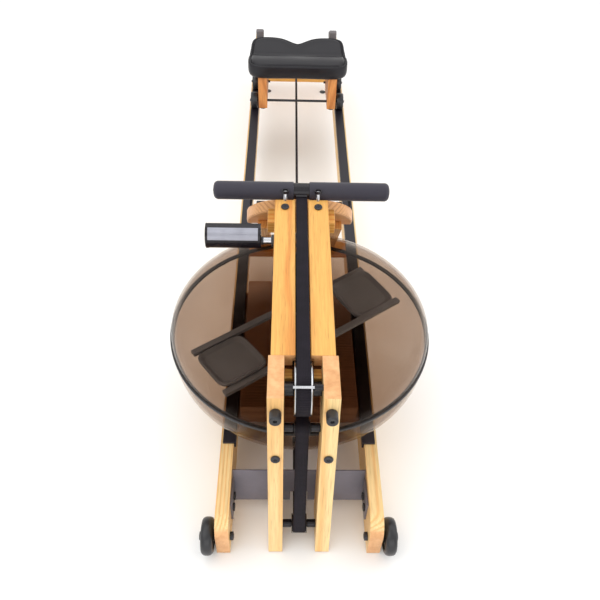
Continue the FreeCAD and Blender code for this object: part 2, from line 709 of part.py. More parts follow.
def build_drive_belt():
    """From the handle over the top pulley and back under the beams to the spool."""
    radius = S.drum_radius + 0.3 + S.belt_thick / 2
    drum = (S.drum_y, S.drum_z, radius)
    end = BEAM_FRAME.multVec(Vector(0, S.handle_t - 22.6, 0))
    lean = math.radians(BEAM_ANGLE)
    top = (drum[0] - radius * math.sin(lean), drum[1] + radius * math.cos(lean))
    reach = (end.y - S.front_y - top[0]) / math.cos(lean)
    tail = (top[0] + reach * math.cos(lean), top[1] + reach * math.sin(lean))
    goal = belt_to_spool(LEFT, 1)
    low, _ = tangent_points(drum, (goal.y - S.front_y, goal.z, 0), -1, 1)
    middle = (drum[0] - radius, drum[1])
    flat_part = 0.35
    join = (low[0] + (goal.y - S.front_y - low[0]) * flat_part, low[1] + (goal.z - low[1]) * flat_part)
    path = [line(tail, top), arc(top, middle, low), line(low, join)]
    runs = run_to_spool(at(join[0], 0, join[1]), LEFT, 1)
    finish(formed(ribbon(path).fuse(runs).removeSplitter()), "drive_belt")


def build_recoil_strap():
    """From the spool over the idler, down between the legs and under the lower pulley."""
    gap = 0.3 + S.belt_thick / 2
    idler = (S.idler_y, S.idler_z, S.idler_radius + gap)
    low = (S.low_y, S.low_z, S.low_radius + gap)
    goal = belt_to_spool(RIGHT, 0)
    over, _ = tangent_points(idler, (goal.y - S.front_y, goal.z, 0), 1, 1)
    down, foot = tangent_points(idler, low, -1, -1)
    leave, far = tangent_points(low, (230, 45.5, 0), -1, 1)
    flat_part = 0.5
    join = (over[0] + (goal.y - S.front_y - over[0]) * flat_part,
            over[1] + (goal.z - over[1]) * flat_part)
    crown = point_on(idler, (-1, 1))
    heel = point_on(low, (-1, -1))
    path = [line(join, over), arc(over, crown, down), line(down, foot), arc(foot, heel, leave),
            line(leave, far)]
    runs = run_to_spool(at(join[0], 0, join[1]), RIGHT, 0)
    finish(formed(ribbon(path).fuse(runs).removeSplitter()), "recoil_strap")


def build_recoil_cord():
    """The stretched elastic cord that runs under the seat to the rear foot."""
    start, end = at(244, 0, 46.5), at(1972, 0, 150)
    along = end - start
    turn = Rotation(Z_AXIS, along)
    cord = rod("seat_axle", f"{along.Length}", start, turn)
    finish(cord, "recoil_cord")
    clip = box("belt_width + 2", "22", "9", at(222, -S.belt_width / 2 - 1, 41))
    eye = rod("9", "13", end, Rotation(X_AXIS, -90))
    finish(group([clip, eye]), "cord_anchors")


# ---------------------------------------------------------------- handle and monitor

def build_handle():
    t, n, half = S.handle_t, S.handle_n, S.handle_length / 2
    core = rod("core_radius", f"{S.handle_length - 16}", Vector(-half + 8, t, n), SIDEWAYS)
    finish(core, "handle_core", BEAM_FRAME)
    clasp_half = 17
    grips = []
    for side in (LEFT, RIGHT):
        points = [(S.core_radius, clasp_half), ("grip_radius", clasp_half),
                  ("grip_radius", half - 10), (S.grip_radius - 3, half - 3.5),
                  (S.grip_radius - 9, half), (0, half), (0, half - 8),
                  (S.core_radius, half - 8)]
        grip = spun(f"Grip{side_name(side)}", points)
        grip.Placement = Placement(Vector(0, t, n), Rotation(Y_AXIS, 90 * side))
        grips.append(grip)
    finish(group(grips), "handle_grips", BEAM_FRAME)
    body = rod("17.5", f"{2 * clasp_half}", Vector(-clasp_half, t, n), SIDEWAYS)
    core_hole = rod("core_radius", f"{2 * clasp_half}", Vector(-clasp_half, t, n), SIDEWAYS)
    tongue = box("belt_width", "8", "7", Vector(-S.belt_width / 2, t - 22, n - 3.5))
    finish(cut(joined([body, tongue]), core_hole), "belt_clasp", BEAM_FRAME)
    pins = [rod("4", "40", at(563, 35 * side, 450), Rotation(X_AXIS, -8)) for side in (LEFT, RIGHT)]
    finish(group(pins), "handle_rest_pins")


def build_monitor():
    """A D-shaped extrusion on a side arm, with a screen and two keys on its flat face."""
    outer, inner, length = S.monitor_inner + S.monitor_length, S.monitor_inner, S.monitor_length
    beam_side = S.beam_inner + S.beam_width
    arm = rod("7", f"{inner - 1 - beam_side}", at(S.monitor_y, -inner + 1, S.monitor_z), SIDEWAYS)
    flange = rod("12", "5", at(S.monitor_y, -beam_side - 5, S.monitor_z), SIDEWAYS)
    stub = rod("4", "11", at(S.monitor_y, -inner - 10, S.monitor_z), SIDEWAYS)
    finish(joined([arm, flange, stub]), "monitor_arm")
    tall, deep = 50, 34
    back = Part.Arc(Vector(0, deep / 2, tall / 2), Vector(0, -deep / 2, 0),
                    Vector(0, deep / 2, -tall / 2)).toShape()
    front = Part.makeLine(Vector(0, deep / 2, -tall / 2), Vector(0, deep / 2, tall / 2))
    housing = Part.Face(Part.Wire([back, front])).extrude(Vector(length, 0, 0))
    housing = housing.cut(Part.makeCylinder(4 + RUNNING_CLEARANCE, 12, Vector(length - 11, -7, 0),
                                            X_AXIS))
    housing = housing.cut(Part.makeBox(72, 3, 34, Vector(12, deep / 2 - 2, -15)))
    for z in (-10, 12):
        housing = housing.cut(Part.makeCylinder(5.3, 8, Vector(98, deep / 2 - 6, z), Y_AXIS))
    place = Placement(at(S.monitor_y + 7, -outer, S.monitor_z), Rotation())
    finish(formed(housing), "monitor_housing", place)
    screen = box("71.6", "2", "33.6", Vector(12.2, deep / 2 - 2, -14.8))
    finish(screen, "monitor_screen", place)
    for number, z in ((1, 12), (2, -10)):
        key = rod("5", "6", Vector(98, deep / 2 - 4, z), Rotation(X_AXIS, -90))
        finish(key, f"monitor_key_{number}", place)


# ---------------------------------------------------------------- seat and wheels

def build_seat():
    """A moulded pad on two tall sides; everything is set out along the rails."""
    half = S.seat_width / 2
    pad = plank("SeatPad", "XY_Plane",
                [(-half, "seat_front"), (half, "seat_front"),
                 (half - 9, S.seat_front + S.seat_depth), (-half + 9, S.seat_front + S.seat_depth)],
                "seat_thick", S.seat_under)
    rounded(pad, "seat_thick * 0.35", lambda edge: runs_along(edge, Z_AXIS))
    finish(pad, "seat_pad", RAIL_FRAME)
    axle_n = S.track_thick + 0.3 + S.seat_wheel
    axle_t = (S.side_front + 22, S.side_front + 150)
    holes = [(t, axle_n, "seat_axle") for t in axle_t]
    back = S.side_front + S.side_length
    points = [("side_front", "side_under"), (back, "side_under"), (back, "seat_under"),
              ("side_front", "seat_under")]
    for side in (LEFT, RIGHT):
        board = plank(f"Side{side_name(side)}", "YZ_Plane", points, "side_thick",
                      inner_face(side, S.side_inner, S.side_thick), holes)
        finish(board, f"{side_name(side)}_carriage_side", RAIL_FRAME)
    cross = box("side_inner * 2", "22", "22", Vector(-S.side_inner, back - 24, S.seat_under - 22))
    finish(cross, "carriage_cross_board", RAIL_FRAME)
    reach, stub = S.seat_wheel_inner + S.seat_wheel_width + 4, S.side_inner - 7
    axles = [rod("seat_axle", f"{2 * reach}", Vector(-reach, axle_t[0], axle_n), SIDEWAYS)]
    axles += [rod("seat_axle", f"{reach - stub}", Vector(x, axle_t[1], axle_n), SIDEWAYS)
              for x in (-reach, stub)]
    finish(group(axles), "seat_axles", RAIL_FRAME)
    build_seat_wheels(axle_t, axle_n)


def build_seat_wheels(axle_t, axle_n):
    bore = S.seat_axle + RUNNING_CLEARANCE
    half = S.seat_wheel_width / 2
    points = [(bore, -half), (S.seat_wheel - 2, -half), ("seat_wheel", 2 - half),
              ("seat_wheel", half - 2), (S.seat_wheel - 2, half), (bore, half)]
    for end, t in zip(("front", "rear"), axle_t):
        for side in (LEFT, RIGHT):
            wheel = spun("SeatWheel", points)
            wheel.Placement = Placement(Vector(side * (S.seat_wheel_inner + half), t, axle_n),
                                        SIDEWAYS)
            finish(wheel, f"seat_wheel_{end}_{side_name(side)}", RAIL_FRAME)
    bumpers = [rod("side_thick * 0.4", "5",
                   Vector(side * (S.side_inner + S.side_thick / 2), t, S.side_under - 5))
               for side in (LEFT, RIGHT) for t in (S.side_front + 14, S.side_front + 180)]
    finish(group(bumpers), "carriage_bumpers", RAIL_FRAME)


def build_transport_wheels():
    bore = S.axle_radius + RUNNING_CLEARANCE
    half = S.wheel_width / 2
    points = [(bore, -half), (S.wheel_radius - 9, -half), (S.wheel_radius - 4, 1 - half),
              ("wheel_radius", 6 - half), ("wheel_radius", half - 6),
              (S.wheel_radius - 4, half - 1), (S.wheel_radius - 9, half), (bore, half)]
    for side in (LEFT, RIGHT):
        wheel = spun("TransportWheel", points)
        finish(wheel, f"{side_name(side)}_transport_wheel",
               Placement(at(S.wheel_y, side * (S.wheel_inner + half), S.wheel_z), SIDEWAYS))
    bolts = []
    for side in (LEFT, RIGHT):
        turn = Rotation(Y_AXIS, 90 * side)
        stud = rod("axle_radius", f"{S.wheel_inner + S.wheel_width - S.rail_inner + 9}",
                   at(S.wheel_y, side * (S.rail_inner - 8), S.wheel_z), turn)
        head = rod("8.5", "4", at(S.wheel_y, side * (S.wheel_inner + S.wheel_width + 0.5),
                                  S.wheel_z), turn)
        nut = rod("8.5", "7", at(S.wheel_y, side * (S.rail_inner - 7), S.wheel_z), turn)
        washer = rod("9", "4", at(S.wheel_y, side * (S.rail_inner + S.plank), S.wheel_z), turn)
        bolts.append(joined([stud, head, nut, washer]))
    finish(group(bolts), "wheel_bolts")


# ---------------------------------------------------------------- check and write

def check(item):
    if "Invalid" in item.State or "Error" in item.State:
        raise RuntimeError(f"{item.Label} did not recompute: {item.State}")


def write_parts():
    doc.recompute()
    for item in doc.Objects:
        check(item)
    os.makedirs("parts", exist_ok=True)
    for item in finished:
        if item.Shape.isNull() or not item.Shape.isValid():
            raise RuntimeError(f"{item.Label} has no valid shape")
        item.Shape.exportStep(f"parts/{item.Label}.step")


build_rails()
build_tracks()
build_front_spacer()
build_rear_foot()
build_floor_pads()
build_legs()
build_leg_fittings()
build_bolts()
build_beams()
build_cross_blocks()
build_tank_deck()
build_footboard()
build_struts()
build_foot_straps()
build_heel_rests()
build_tank()
build_bearings()
build_rotor()
build_spool()
build_pulleys()
build_drive_belt()
build_recoil_strap()
build_recoil_cord()
build_handle()
build_monitor()
build_seat()
build_transport_wheels()
write_parts()
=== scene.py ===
"""Looks of the water-resistance rowing machine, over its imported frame.

Metres; +Z up, +Y towards the seat end. A "station" is a distance along Y behind the
front faces of the legs and rails.
"""
import json
import math

import bmesh
import bpy
from mathutils import Matrix, Vector


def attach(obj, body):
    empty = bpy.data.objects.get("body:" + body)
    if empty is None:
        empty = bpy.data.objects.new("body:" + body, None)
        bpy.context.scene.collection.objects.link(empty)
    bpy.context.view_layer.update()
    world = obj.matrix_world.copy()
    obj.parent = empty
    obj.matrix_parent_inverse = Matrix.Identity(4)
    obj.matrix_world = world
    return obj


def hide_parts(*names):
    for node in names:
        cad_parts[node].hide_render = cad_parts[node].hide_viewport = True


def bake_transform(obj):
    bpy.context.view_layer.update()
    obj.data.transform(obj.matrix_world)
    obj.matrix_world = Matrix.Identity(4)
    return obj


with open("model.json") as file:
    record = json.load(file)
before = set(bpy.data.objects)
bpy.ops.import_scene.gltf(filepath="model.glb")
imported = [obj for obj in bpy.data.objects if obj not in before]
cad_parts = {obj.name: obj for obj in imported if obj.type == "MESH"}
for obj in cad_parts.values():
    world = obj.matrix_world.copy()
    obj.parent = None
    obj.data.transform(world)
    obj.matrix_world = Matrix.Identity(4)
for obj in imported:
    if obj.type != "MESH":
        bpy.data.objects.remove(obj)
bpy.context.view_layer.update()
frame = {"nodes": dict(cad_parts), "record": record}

FRONT_Y = -1.0355
RAIL_ORIGIN, RAIL_ANGLE = Vector((0, FRONT_Y, 0.104)), math.atan(0.0552)
BEAM_ORIGIN, BEAM_ANGLE = Vector((0, FRONT_Y + 0.1615, 0.430)), math.atan(0.0895)
BOARD_ORIGIN, BOARD_ANGLE = Vector((0, FRONT_Y + 0.690, 0.305)), math.radians(130)
LEG_ANGLE = math.atan(0.157)
TANK_STATION = 0.393
TANK = Vector((0, FRONT_Y + TANK_STATION, 0))
TANK_RADIUS, SEAM, TANK_LOW, TANK_TOP, WALL = 0.280, 0.255, 0.142, 0.350, 0.004
BELT_HALF, BELT_THIN = 0.012, 0.001
ROTOR_TURN = math.radians(35.6)
SPOOL_BASE, SPOOL_GAP, SPOOL_FLANGE, SPOOL_COIL = 0.358, 0.0245, 0.0015, 0.037
HANDLE_ALONG, HANDLE_ABOVE = 0.432, 0.0029
SEAT_HALF, SEAT_DEEP, SEAT_ALONG = 0.168, 0.1085, 1.569

# Places in the middle plane, as (station, height)
DRUM, IDLER, LOW_ROLLER = (0.125, 0.3835), (0.091, 0.315), (0.040, 0.051)
KEEPER, CORD_END = (0.096, 0.4255), (0.230, 0.0455)

ALONG_RAIL = Vector((0, math.cos(RAIL_ANGLE), math.sin(RAIL_ANGLE)))
ALONG_BEAM = Vector((0, math.cos(BEAM_ANGLE), math.sin(BEAM_ANGLE)))
ALONG_BOARD = Vector((0, math.cos(BOARD_ANGLE), math.sin(BOARD_ANGLE)))
ALONG_LEG = Vector((0, math.sin(LEG_ANGLE), math.cos(LEG_ANGLE)))
X_AXIS, Z_AXIS = Vector((1, 0, 0)), Vector((0, 0, 1))

# The body that each CAD node belongs to
BODY_OF = {node: body for body, nodes in frame["record"]["behaviour"]["bodies"].items()
           for node in nodes}


def at(station, x=0.0, z=0.0):
    """The point at a station, a distance across and a height."""
    return Vector((x, FRONT_Y + station, z))


def centred(place):
    """The point at a (station, height) place in the middle plane."""
    return at(place[0], 0, place[1])


def on(origin, angle, x, t, n):
    """A point given along (t) and square to (n) a plane that is turned about X."""
    c, s = math.cos(angle), math.sin(angle)
    return origin + Vector((x, t * c - n * s, t * s + n * c))


def on_rail(x, t, n):
    return on(RAIL_ORIGIN, RAIL_ANGLE, x, t, n)


def on_beam(x, t, n):
    return on(BEAM_ORIGIN, BEAM_ANGLE, x, t, n)


def on_board(x, t, n):
    return on(BOARD_ORIGIN, BOARD_ANGLE, x, t, n)


# ---------------------------------------------------------------- materials

class Graph:
    """A material's node tree, with short ways to add and link nodes."""

    def __init__(self, name, **shader):
        self.material = bpy.data.materials.new(name)
        self.material.use_nodes = True
        self.tree = self.material.node_tree
        self.shader = self.tree.nodes["Principled BSDF"]
        for key, value in shader.items():
            self.shader.inputs[key.replace("_", " ")].default_value = value
        self.coords = self.node("TexCoord").outputs

    def node(self, kind, inputs=None, **settings):
        item = self.tree.nodes.new("ShaderNode" + kind)
        for key, value in settings.items():
            setattr(item, key, value)
        for key, value in (inputs or {}).items():
            if isinstance(value, bpy.types.NodeSocket):
                self.tree.links.new(value, item.inputs[key])
            else:
                item.inputs[key].default_value = value
        return item

    def mapped(self, vector, scale=(1, 1, 1), turn=(0, 0, 0), shift=(0, 0, 0)):
        return self.node("Mapping", {"Vector": vector, "Scale": scale, "Rotation": turn,
                                     "Location": shift}).outputs[0]

    def noise(self, vector, scale, detail=2.0, roughness=0.5):
        return self.node("TexNoise", {"Vector": vector, "Scale": scale, "Detail": detail,
                                      "Roughness": roughness}).outputs["Fac"]

    def ramp(self, factor, *stops):
        """A colour ramp; each stop is a place and a grey level or a colour."""
        item = self.node("ValToRGB", {"Fac": factor})
        elements = item.color_ramp.elements
        elements[0].position, elements[1].position = stops[0][0], stops[-1][0]
        for place, _ in stops[1:-1]:
            elements.new(place)
        for element, (_, colour) in zip(elements, stops):
            grey = isinstance(colour, (int, float))
            element.color = (colour, colour, colour, 1) if grey else (*colour, 1)
        return item.outputs["Color"]

    def mix(self, factor, first, second, blend="MIX"):
        """A colour mix; each input is a socket or a value."""
        item = self.node("Mix", data_type="RGBA", blend_type=blend)
        for number, value in ((0, factor), (6, first), (7, second)):
            if isinstance(value, bpy.types.NodeSocket):
                self.tree.links.new(value, item.inputs[number])
            elif number:
                item.inputs[number].default_value = (*value, 1)
            else:
                item.inputs[number].default_value = value
        return item.outputs[2]

    def maths(self, operation, first, second=0.0):
        """One sum; each input is a socket or a number."""
        item = self.node("Math", operation=operation)
        for number, value in enumerate((first, second)):
            if isinstance(value, bpy.types.NodeSocket):
                self.tree.links.new(value, item.inputs[number])
            else:
                item.inputs[number].default_value = value
        return item.outputs[0]

    def finish(self, colour=None, roughness=None, height=None, distance=0.0003, strength=0.6):
        """Link what varies over the surface to the shader."""
        link = self.tree.links.new
        if colour is not None:
            link(colour, self.shader.inputs["Base Color"])
        if roughness is not None:
            link(roughness, self.shader.inputs["Roughness"])
        if height is not None:
            bump = self.node("Bump", {"Height": height, "Distance": distance,
                                      "Strength": strength})
            link(bump.outputs[0], self.shader.inputs["Normal"])
        return self.material


def turned_to(along):
    """The turn that brings a direction onto X."""
    side = Z_AXIS.cross(along) if abs(along.z) < 0.9 else X_AXIS.copy()
    side.normalize()
    up = along.cross(side)
    return Matrix((along, side, up)).to_euler()


def ash(name, along, light, dark, pith=(0.06, 0.05), stretch=0.05):
    """Oiled ash: growth rings round a pith, long fibres, open pores and browner ends."""
    graph = Graph(name, Specular_IOR_Level=0.4)
    own = graph.mapped(graph.coords["Object"], turn=turned_to(along))
    grown = graph.mapped(own, scale=(stretch, 1, 1), shift=(0.3, *pith))
    rings = graph.node("TexWave", {"Vector": grown, "Scale": 46.0, "Distortion": 9.0,
                                   "Detail": 3.0, "Detail Scale": 0.28,
                                   "Detail Roughness": 0.55},
                       wave_type="RINGS", rings_direction="X").outputs["Fac"]
    tone = graph.noise(graph.mapped(own, scale=(1.6, 22, 22)), 1.0, 3.0)
    fibre = graph.noise(graph.mapped(own, scale=(14, 420, 420)), 1.0, 3.0, 0.6)
    pores = graph.noise(graph.mapped(own, scale=(26, 640, 640), shift=(2, 1, 5)), 1.0, 1.0)
    mid = tuple(0.55 * a + 0.45 * b for a, b in zip(light, dark))
    base = graph.ramp(rings, (0.03, dark), (0.30, mid), (0.7, light), (1.0, light))
    toned = graph.mix(0.36, base, graph.ramp(tone, (0.3, mid), (0.7, light)))
    streaked = graph.mix(0.5, toned, graph.ramp(fibre, (0.3, 0.62), (0.62, 1.0)), "MULTIPLY")
    pore = graph.ramp(pores, (0.60, 0.0), (0.72, 1.0))
    pored = graph.mix(graph.maths("MULTIPLY", pore, 0.35), streaked,
                      tuple(0.45 * value for value in dark))
    facing = graph.node("VectorMath", {0: graph.coords["Normal"], 1: tuple(along)},
                        operation="DOT_PRODUCT").outputs["Value"]
    end = graph.ramp(graph.maths("ABSOLUTE", facing), (0.72, 0.0), (0.86, 1.0))
    cloud = graph.noise(graph.mapped(own, scale=(30, 45, 45)), 1.0, 4.0, 0.65)
    brown = graph.ramp(cloud, (0.3, (0.60, 0.27, 0.10)), (0.7, (0.84, 0.47, 0.22)))
    colour = graph.mix(graph.maths("MULTIPLY", end, 0.92), pored, brown)
    rough = graph.ramp(fibre, (0.25, 0.50), (0.75, 0.34))
    height = graph.maths("SUBTRACT", fibre, graph.maths("MULTIPLY", pore, 0.8))
    return graph.finish(colour, rough, height, 0.0003, 0.35)


def plastic(name, colour, rough=0.4, grain=900.0, depth=0.00008, wear=0.2, **shader):
    """Moulded plastic or rubber: a fine grain, patches of handling shine and faint scuffs."""
    graph = Graph(name, **shader)
    own = graph.coords["Object"]
    fine = graph.noise(own, grain, 3.0, 0.6)
    patch = graph.noise(own, 14.0, 3.0)
    scuff = graph.noise(graph.mapped(own, scale=(60, 300, 120)), 1.0, 4.0, 0.7)
    lighter = tuple(min(1.0, value * 1.5 + 0.006) for value in colour)
    darker = tuple(value * 0.78 for value in colour)
    base = graph.ramp(patch, (0.3, darker), (0.7, colour))
    base = graph.mix(graph.ramp(scuff, (0.58, 0.0), (0.75, wear)), base, lighter)
    shine = graph.ramp(graph.mix(0.4, patch, fine), (0.3, max(rough - 0.08, 0.03)),
                       (0.7, rough + 0.1))
    return graph.finish(base, shine, fine, depth, 0.5)


def metal(name, colour, rough=0.25, along=X_AXIS, metallic=1.0):
    """Drawn or brushed metal: fine lines along one direction and slight tarnish."""
    graph = Graph(name, Metallic=metallic)
    own = graph.mapped(graph.coords["Object"], turn=turned_to(along))
    lines = graph.noise(graph.mapped(own, scale=(12, 1500, 1500)), 1.0, 2.0)
    stain = graph.noise(own, 30.0, 3.0)
    base = graph.ramp(stain, (0.3, tuple(value * 0.8 for value in colour)), (0.65, colour))
    shine = graph.ramp(lines, (0.3, rough * 0.7), (0.7, rough * 1.4))
    return graph.finish(base, shine, lines, 0.00004, 0.4)


def woven(name, colour, pitch=0.0014, rough=0.62, sheen=0.25):
    """Flat webbing: a tight basket weave with lighter crossings."""
    graph = Graph(name, Sheen_Weight=sheen, Sheen_Roughness=0.4, Specular_IOR_Level=0.2)
    own = graph.coords["Object"]
    waves = [graph.node("TexWave", {"Vector": own, "Scale": 0.314 / pitch / 2},
                        bands_direction=axis).outputs["Fac"] for axis in "XYZ"]
    weave = graph.maths("MULTIPLY", waves[0], graph.maths("MAXIMUM", waves[1], waves[2]))
    fuzz = graph.noise(own, 700.0, 2.0)
    wear = graph.noise(own, 25.0, 3.0)
    base = graph.ramp(weave, (0.1, tuple(value * 0.55 for value in colour)), (0.7, colour))
    base = graph.mix(graph.ramp(wear, (0.45, 0.0), (0.8, 0.35)), base,
                     tuple(value * 1.9 for value in colour))
    shine = graph.ramp(fuzz, (0.3, rough - 0.08), (0.7, rough + 0.12))
    return graph.finish(base, shine, weave, 0.0002, 0.5)


def smoked(name):
    """Clear brown-grey plastic: it tints what is behind it, and shines more at its rims."""
    graph = Graph(name, Metallic=1.0)
    own = graph.coords["Object"]
    haze = graph.noise(own, 6.0, 3.0)
    specks = graph.noise(own, 220.0, 2.0)
    tint = graph.ramp(haze, (0.3, (0.765, 0.70, 0.65)), (0.7, (0.80, 0.745, 0.70)))
    film = graph.node("BsdfTransparent", {"Color": tint}).outputs[0]
    rim = graph.node("LayerWeight", {"Blend": 0.5}).outputs["Facing"]
    share = graph.maths("MULTIPLY", graph.maths("POWER", rim, 5.0), 0.85)
    both = graph.node("MixShader", {0: share, 1: film, 2: graph.shader.outputs[0]})
    output = graph.tree.nodes["Material Output"].inputs["Surface"]
    graph.tree.links.new(both.outputs[0], output)
    shine = graph.ramp(specks, (0.3, 0.06), (0.8, 0.12))
    return graph.finish(graph.ramp(haze, (0.3, (0.82, 0.79, 0.76)), (0.7, (0.88, 0.86, 0.84))),
                        shine, haze, 0.0004, 0.1)


HONEY, STRAW = (0.84, 0.455, 0.112), (0.66, 0.22, 0.035)
PALE, GOLD = (0.94, 0.69, 0.33), (0.84, 0.44, 0.14)
AMBER, RUST = (0.78, 0.33, 0.10), (0.52, 0.16, 0.04)

M = {
    "rail": ash("ash_rail", ALONG_RAIL, PALE, GOLD, (0.21, 0.02)),
    "leg": ash("ash_leg", ALONG_LEG, PALE, GOLD, (0.11, 0.06)),
    "beam": ash("ash_beam", ALONG_BEAM, HONEY, STRAW, (0.03, 0.030), 0.11),
    "cross": ash("ash_cross", X_AXIS, HONEY, STRAW, (0.04, 0.09)),
    # Tank deck: darker, browner ash colours, painted shade for the tank's shadow over it
    "deck": ash("ash_deck_painted_shade", X_AXIS, (0.50, 0.29, 0.17), (0.34, 0.16, 0.08), (0.10, 0.02)),
    "carriage": ash("ash_carriage", Z_AXIS, AMBER, RUST, (0.05, 0.07)),
    # Footboard: darker, redder ash colours, painted shade for the shadow on the board
    "board": ash("ash_board_painted_shade", X_AXIS, (0.80, 0.42, 0.17), (0.52, 0.21, 0.07), (0.35, 0.30)),
    "strut": ash("ash_strut", ALONG_BOARD, HONEY, STRAW, (0.12, 0.08)),
    "track": plastic("track_plastic", (0.018, 0.015, 0.021), 0.42, 600.0,
                     Specular_IOR_Level=0.4),
    "stop": plastic("stop_plastic", (0.16, 0.145, 0.15), 0.5),
    "coat": plastic("powder_coat", (0.20, 0.19, 0.23), 0.46, 1500.0, 0.00006, Metallic=0.3),
    "black_steel": metal("black_steel", (0.055, 0.055, 0.062), 0.34, X_AXIS, 0.7),
    "steel": metal("bright_steel", (0.62, 0.63, 0.66), 0.2),
    "upright_steel": metal("upright_steel", (0.66, 0.66, 0.69), 0.18, Z_AXIS),
    "rubber": plastic("rubber_black", (0.022, 0.022, 0.025), 0.42, 700.0),
    "tread": plastic("wheel_rubber", (0.018, 0.018, 0.021), 0.32, 500.0, 0.00005),
    "gloss": plastic("pulley_plastic", (0.012, 0.010, 0.014), 0.24, 900.0, 0.00004, 0.1,
                     Specular_IOR_Level=0.35),
    "rotor": plastic("rotor_plastic", (0.15, 0.165, 0.19), 0.42, 400.0),
    "grip": plastic("grip_foam", (0.026, 0.023, 0.038), 0.66, 520.0, 0.0005, Sheen_Weight=0.15),
    "seat": plastic("seat_skin", (0.006, 0.005, 0.009), 0.34, 650.0, 0.00012, 0.06,
                    Specular_IOR_Level=0.4),
    "shell": metal("monitor_shell", (0.36, 0.365, 0.42), 0.38, X_AXIS, 0.8),
    "screen": plastic("screen_glass", (0.05, 0.065, 0.055), 0.12, 900.0, 0.00001, Coat_Weight=1.0),
    "key": plastic("key_rubber", (0.12, 0.12, 0.13), 0.5),
    "belt": woven("belt_webbing", (0.010, 0.007, 0.013), 0.0014, 0.6, 0.0),
    "cord": woven("cord_braid", (0.016, 0.013, 0.018), 0.0022, 0.6, 0.1),
    "tank": smoked("smoked_plastic"),
}


# ---------------------------------------------------------------- mesh tools

def added(name, verts, faces, material, body, replaced=(), slot=None, smooth=40.0):
    """A new piece from points and faces, joined up and put on a body."""
    mesh = bpy.data.meshes.new(name)
    mesh.from_pydata([tuple(point) for point in verts], [], faces)
    graph = bmesh.new()
    graph.from_mesh(mesh)
    bmesh.ops.remove_doubles(graph, verts=graph.verts, dist=1e-6)
    bmesh.ops.recalc_face_normals(graph, faces=graph.faces)
    graph.to_mesh(mesh)
    graph.free()
    return placed(name, mesh, material, body, replaced, smooth)


def placed(name, mesh, material, body, replaced, smooth):
    """A mesh put into the scene, with its material, body and replaced nodes."""
    piece = bpy.data.objects.new(name, mesh)
    bpy.context.scene.collection.objects.link(piece)
    for item in (material if isinstance(material, (list, tuple)) else [material]):
        mesh.materials.append(item)
    mesh.shade_smooth()
    if smooth < 180:
        mesh.set_sharp_from_angle(angle=math.radians(smooth))
    if body:
        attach(piece, body)
    if replaced:
        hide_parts(*replaced)
    return piece


def bevelled(piece, width, segments=2):
    """Round off a piece's sharp edges."""
    mod = piece.modifiers.new("Edges", "BEVEL")
    mod.width = width
    mod.segments = segments
    mod.limit_method = "ANGLE"
    mod.angle_limit = math.radians(32.0)
    return piece


def refined(node, material, width, segments=2):
    """A CAD node's shape with clean faces and softened edges."""
    source = frame["nodes"][node]
    graph = bmesh.new()
    graph.from_mesh(source.data)
    bmesh.ops.remove_doubles(graph, verts=graph.verts, dist=2e-6)
    bmesh.ops.dissolve_limit(graph, angle_limit=math.radians(0.6), use_dissolve_boundaries=False,
                             verts=graph.verts, edges=graph.edges)
    mesh = bpy.data.meshes.new(node + "_fine")
    graph.to_mesh(mesh)
    graph.free()
    piece = placed(node + "_fine", mesh, material, BODY_OF[node], [node], 50.0)
    return bevelled(piece, width, segments) if width else piece


def lathe(profile, centre, axis, count=96):
    """Vertices and faces of a closed (radius, height) profile turned about an axis."""
    axis = Vector(axis).normalized()
    first = axis.orthogonal().normalized()
    second = axis.cross(first)
    verts, faces = [], []
    for step in range(count):
        turn = 2 * math.pi * step / count
        out = first * math.cos(turn) + second * math.sin(turn)
        verts += [Vector(centre) + out * radius + axis * height for radius, height in profile]
    size = len(profile)
    for step in range(count):
        near, far = step * size, (step + 1) % count * size
        for index in range(size):
            after = (index + 1) % size
            faces.append((near + index, near + after, far + after, far + index))
    return verts, faces


def merged(*meshes):
    """The vertices and faces of several meshes, as one."""
    verts, faces = [], []
    for some_verts, some_faces in meshes:
        faces += [tuple(index + len(verts) for index in face) for face in some_faces]
        verts += some_verts
    return verts, faces


def swept(rings):
    """Vertices and faces through a list of equal rings, capped at both ends."""
    size = len(rings[0])
    verts = [point for ring in rings for point in ring]
    faces = []
    for step in range(len(rings) - 1):
        near, far = step * size, (step + 1) * size
        for index in range(size):
            after = (index + 1) % size
            faces.append((near + index, near + after, far + after, far + index))
    faces += [tuple(range(size))[::-1], tuple(range(len(verts) - size, len(verts)))]
    return verts, faces


def block(corner, size):
    """A brick, from its low corner."""
    x, y, z = size
    base = [Vector(point) for point in ((0, 0, 0), (x, 0, 0), (x, y, 0), (0, y, 0))]
    lift = Vector((0, 0, z))
    return swept([[Vector(corner) + point for point in base],
                  [Vector(corner) + (point + lift) for point in base]])


# ---------------------------------------------------------------- frame pieces

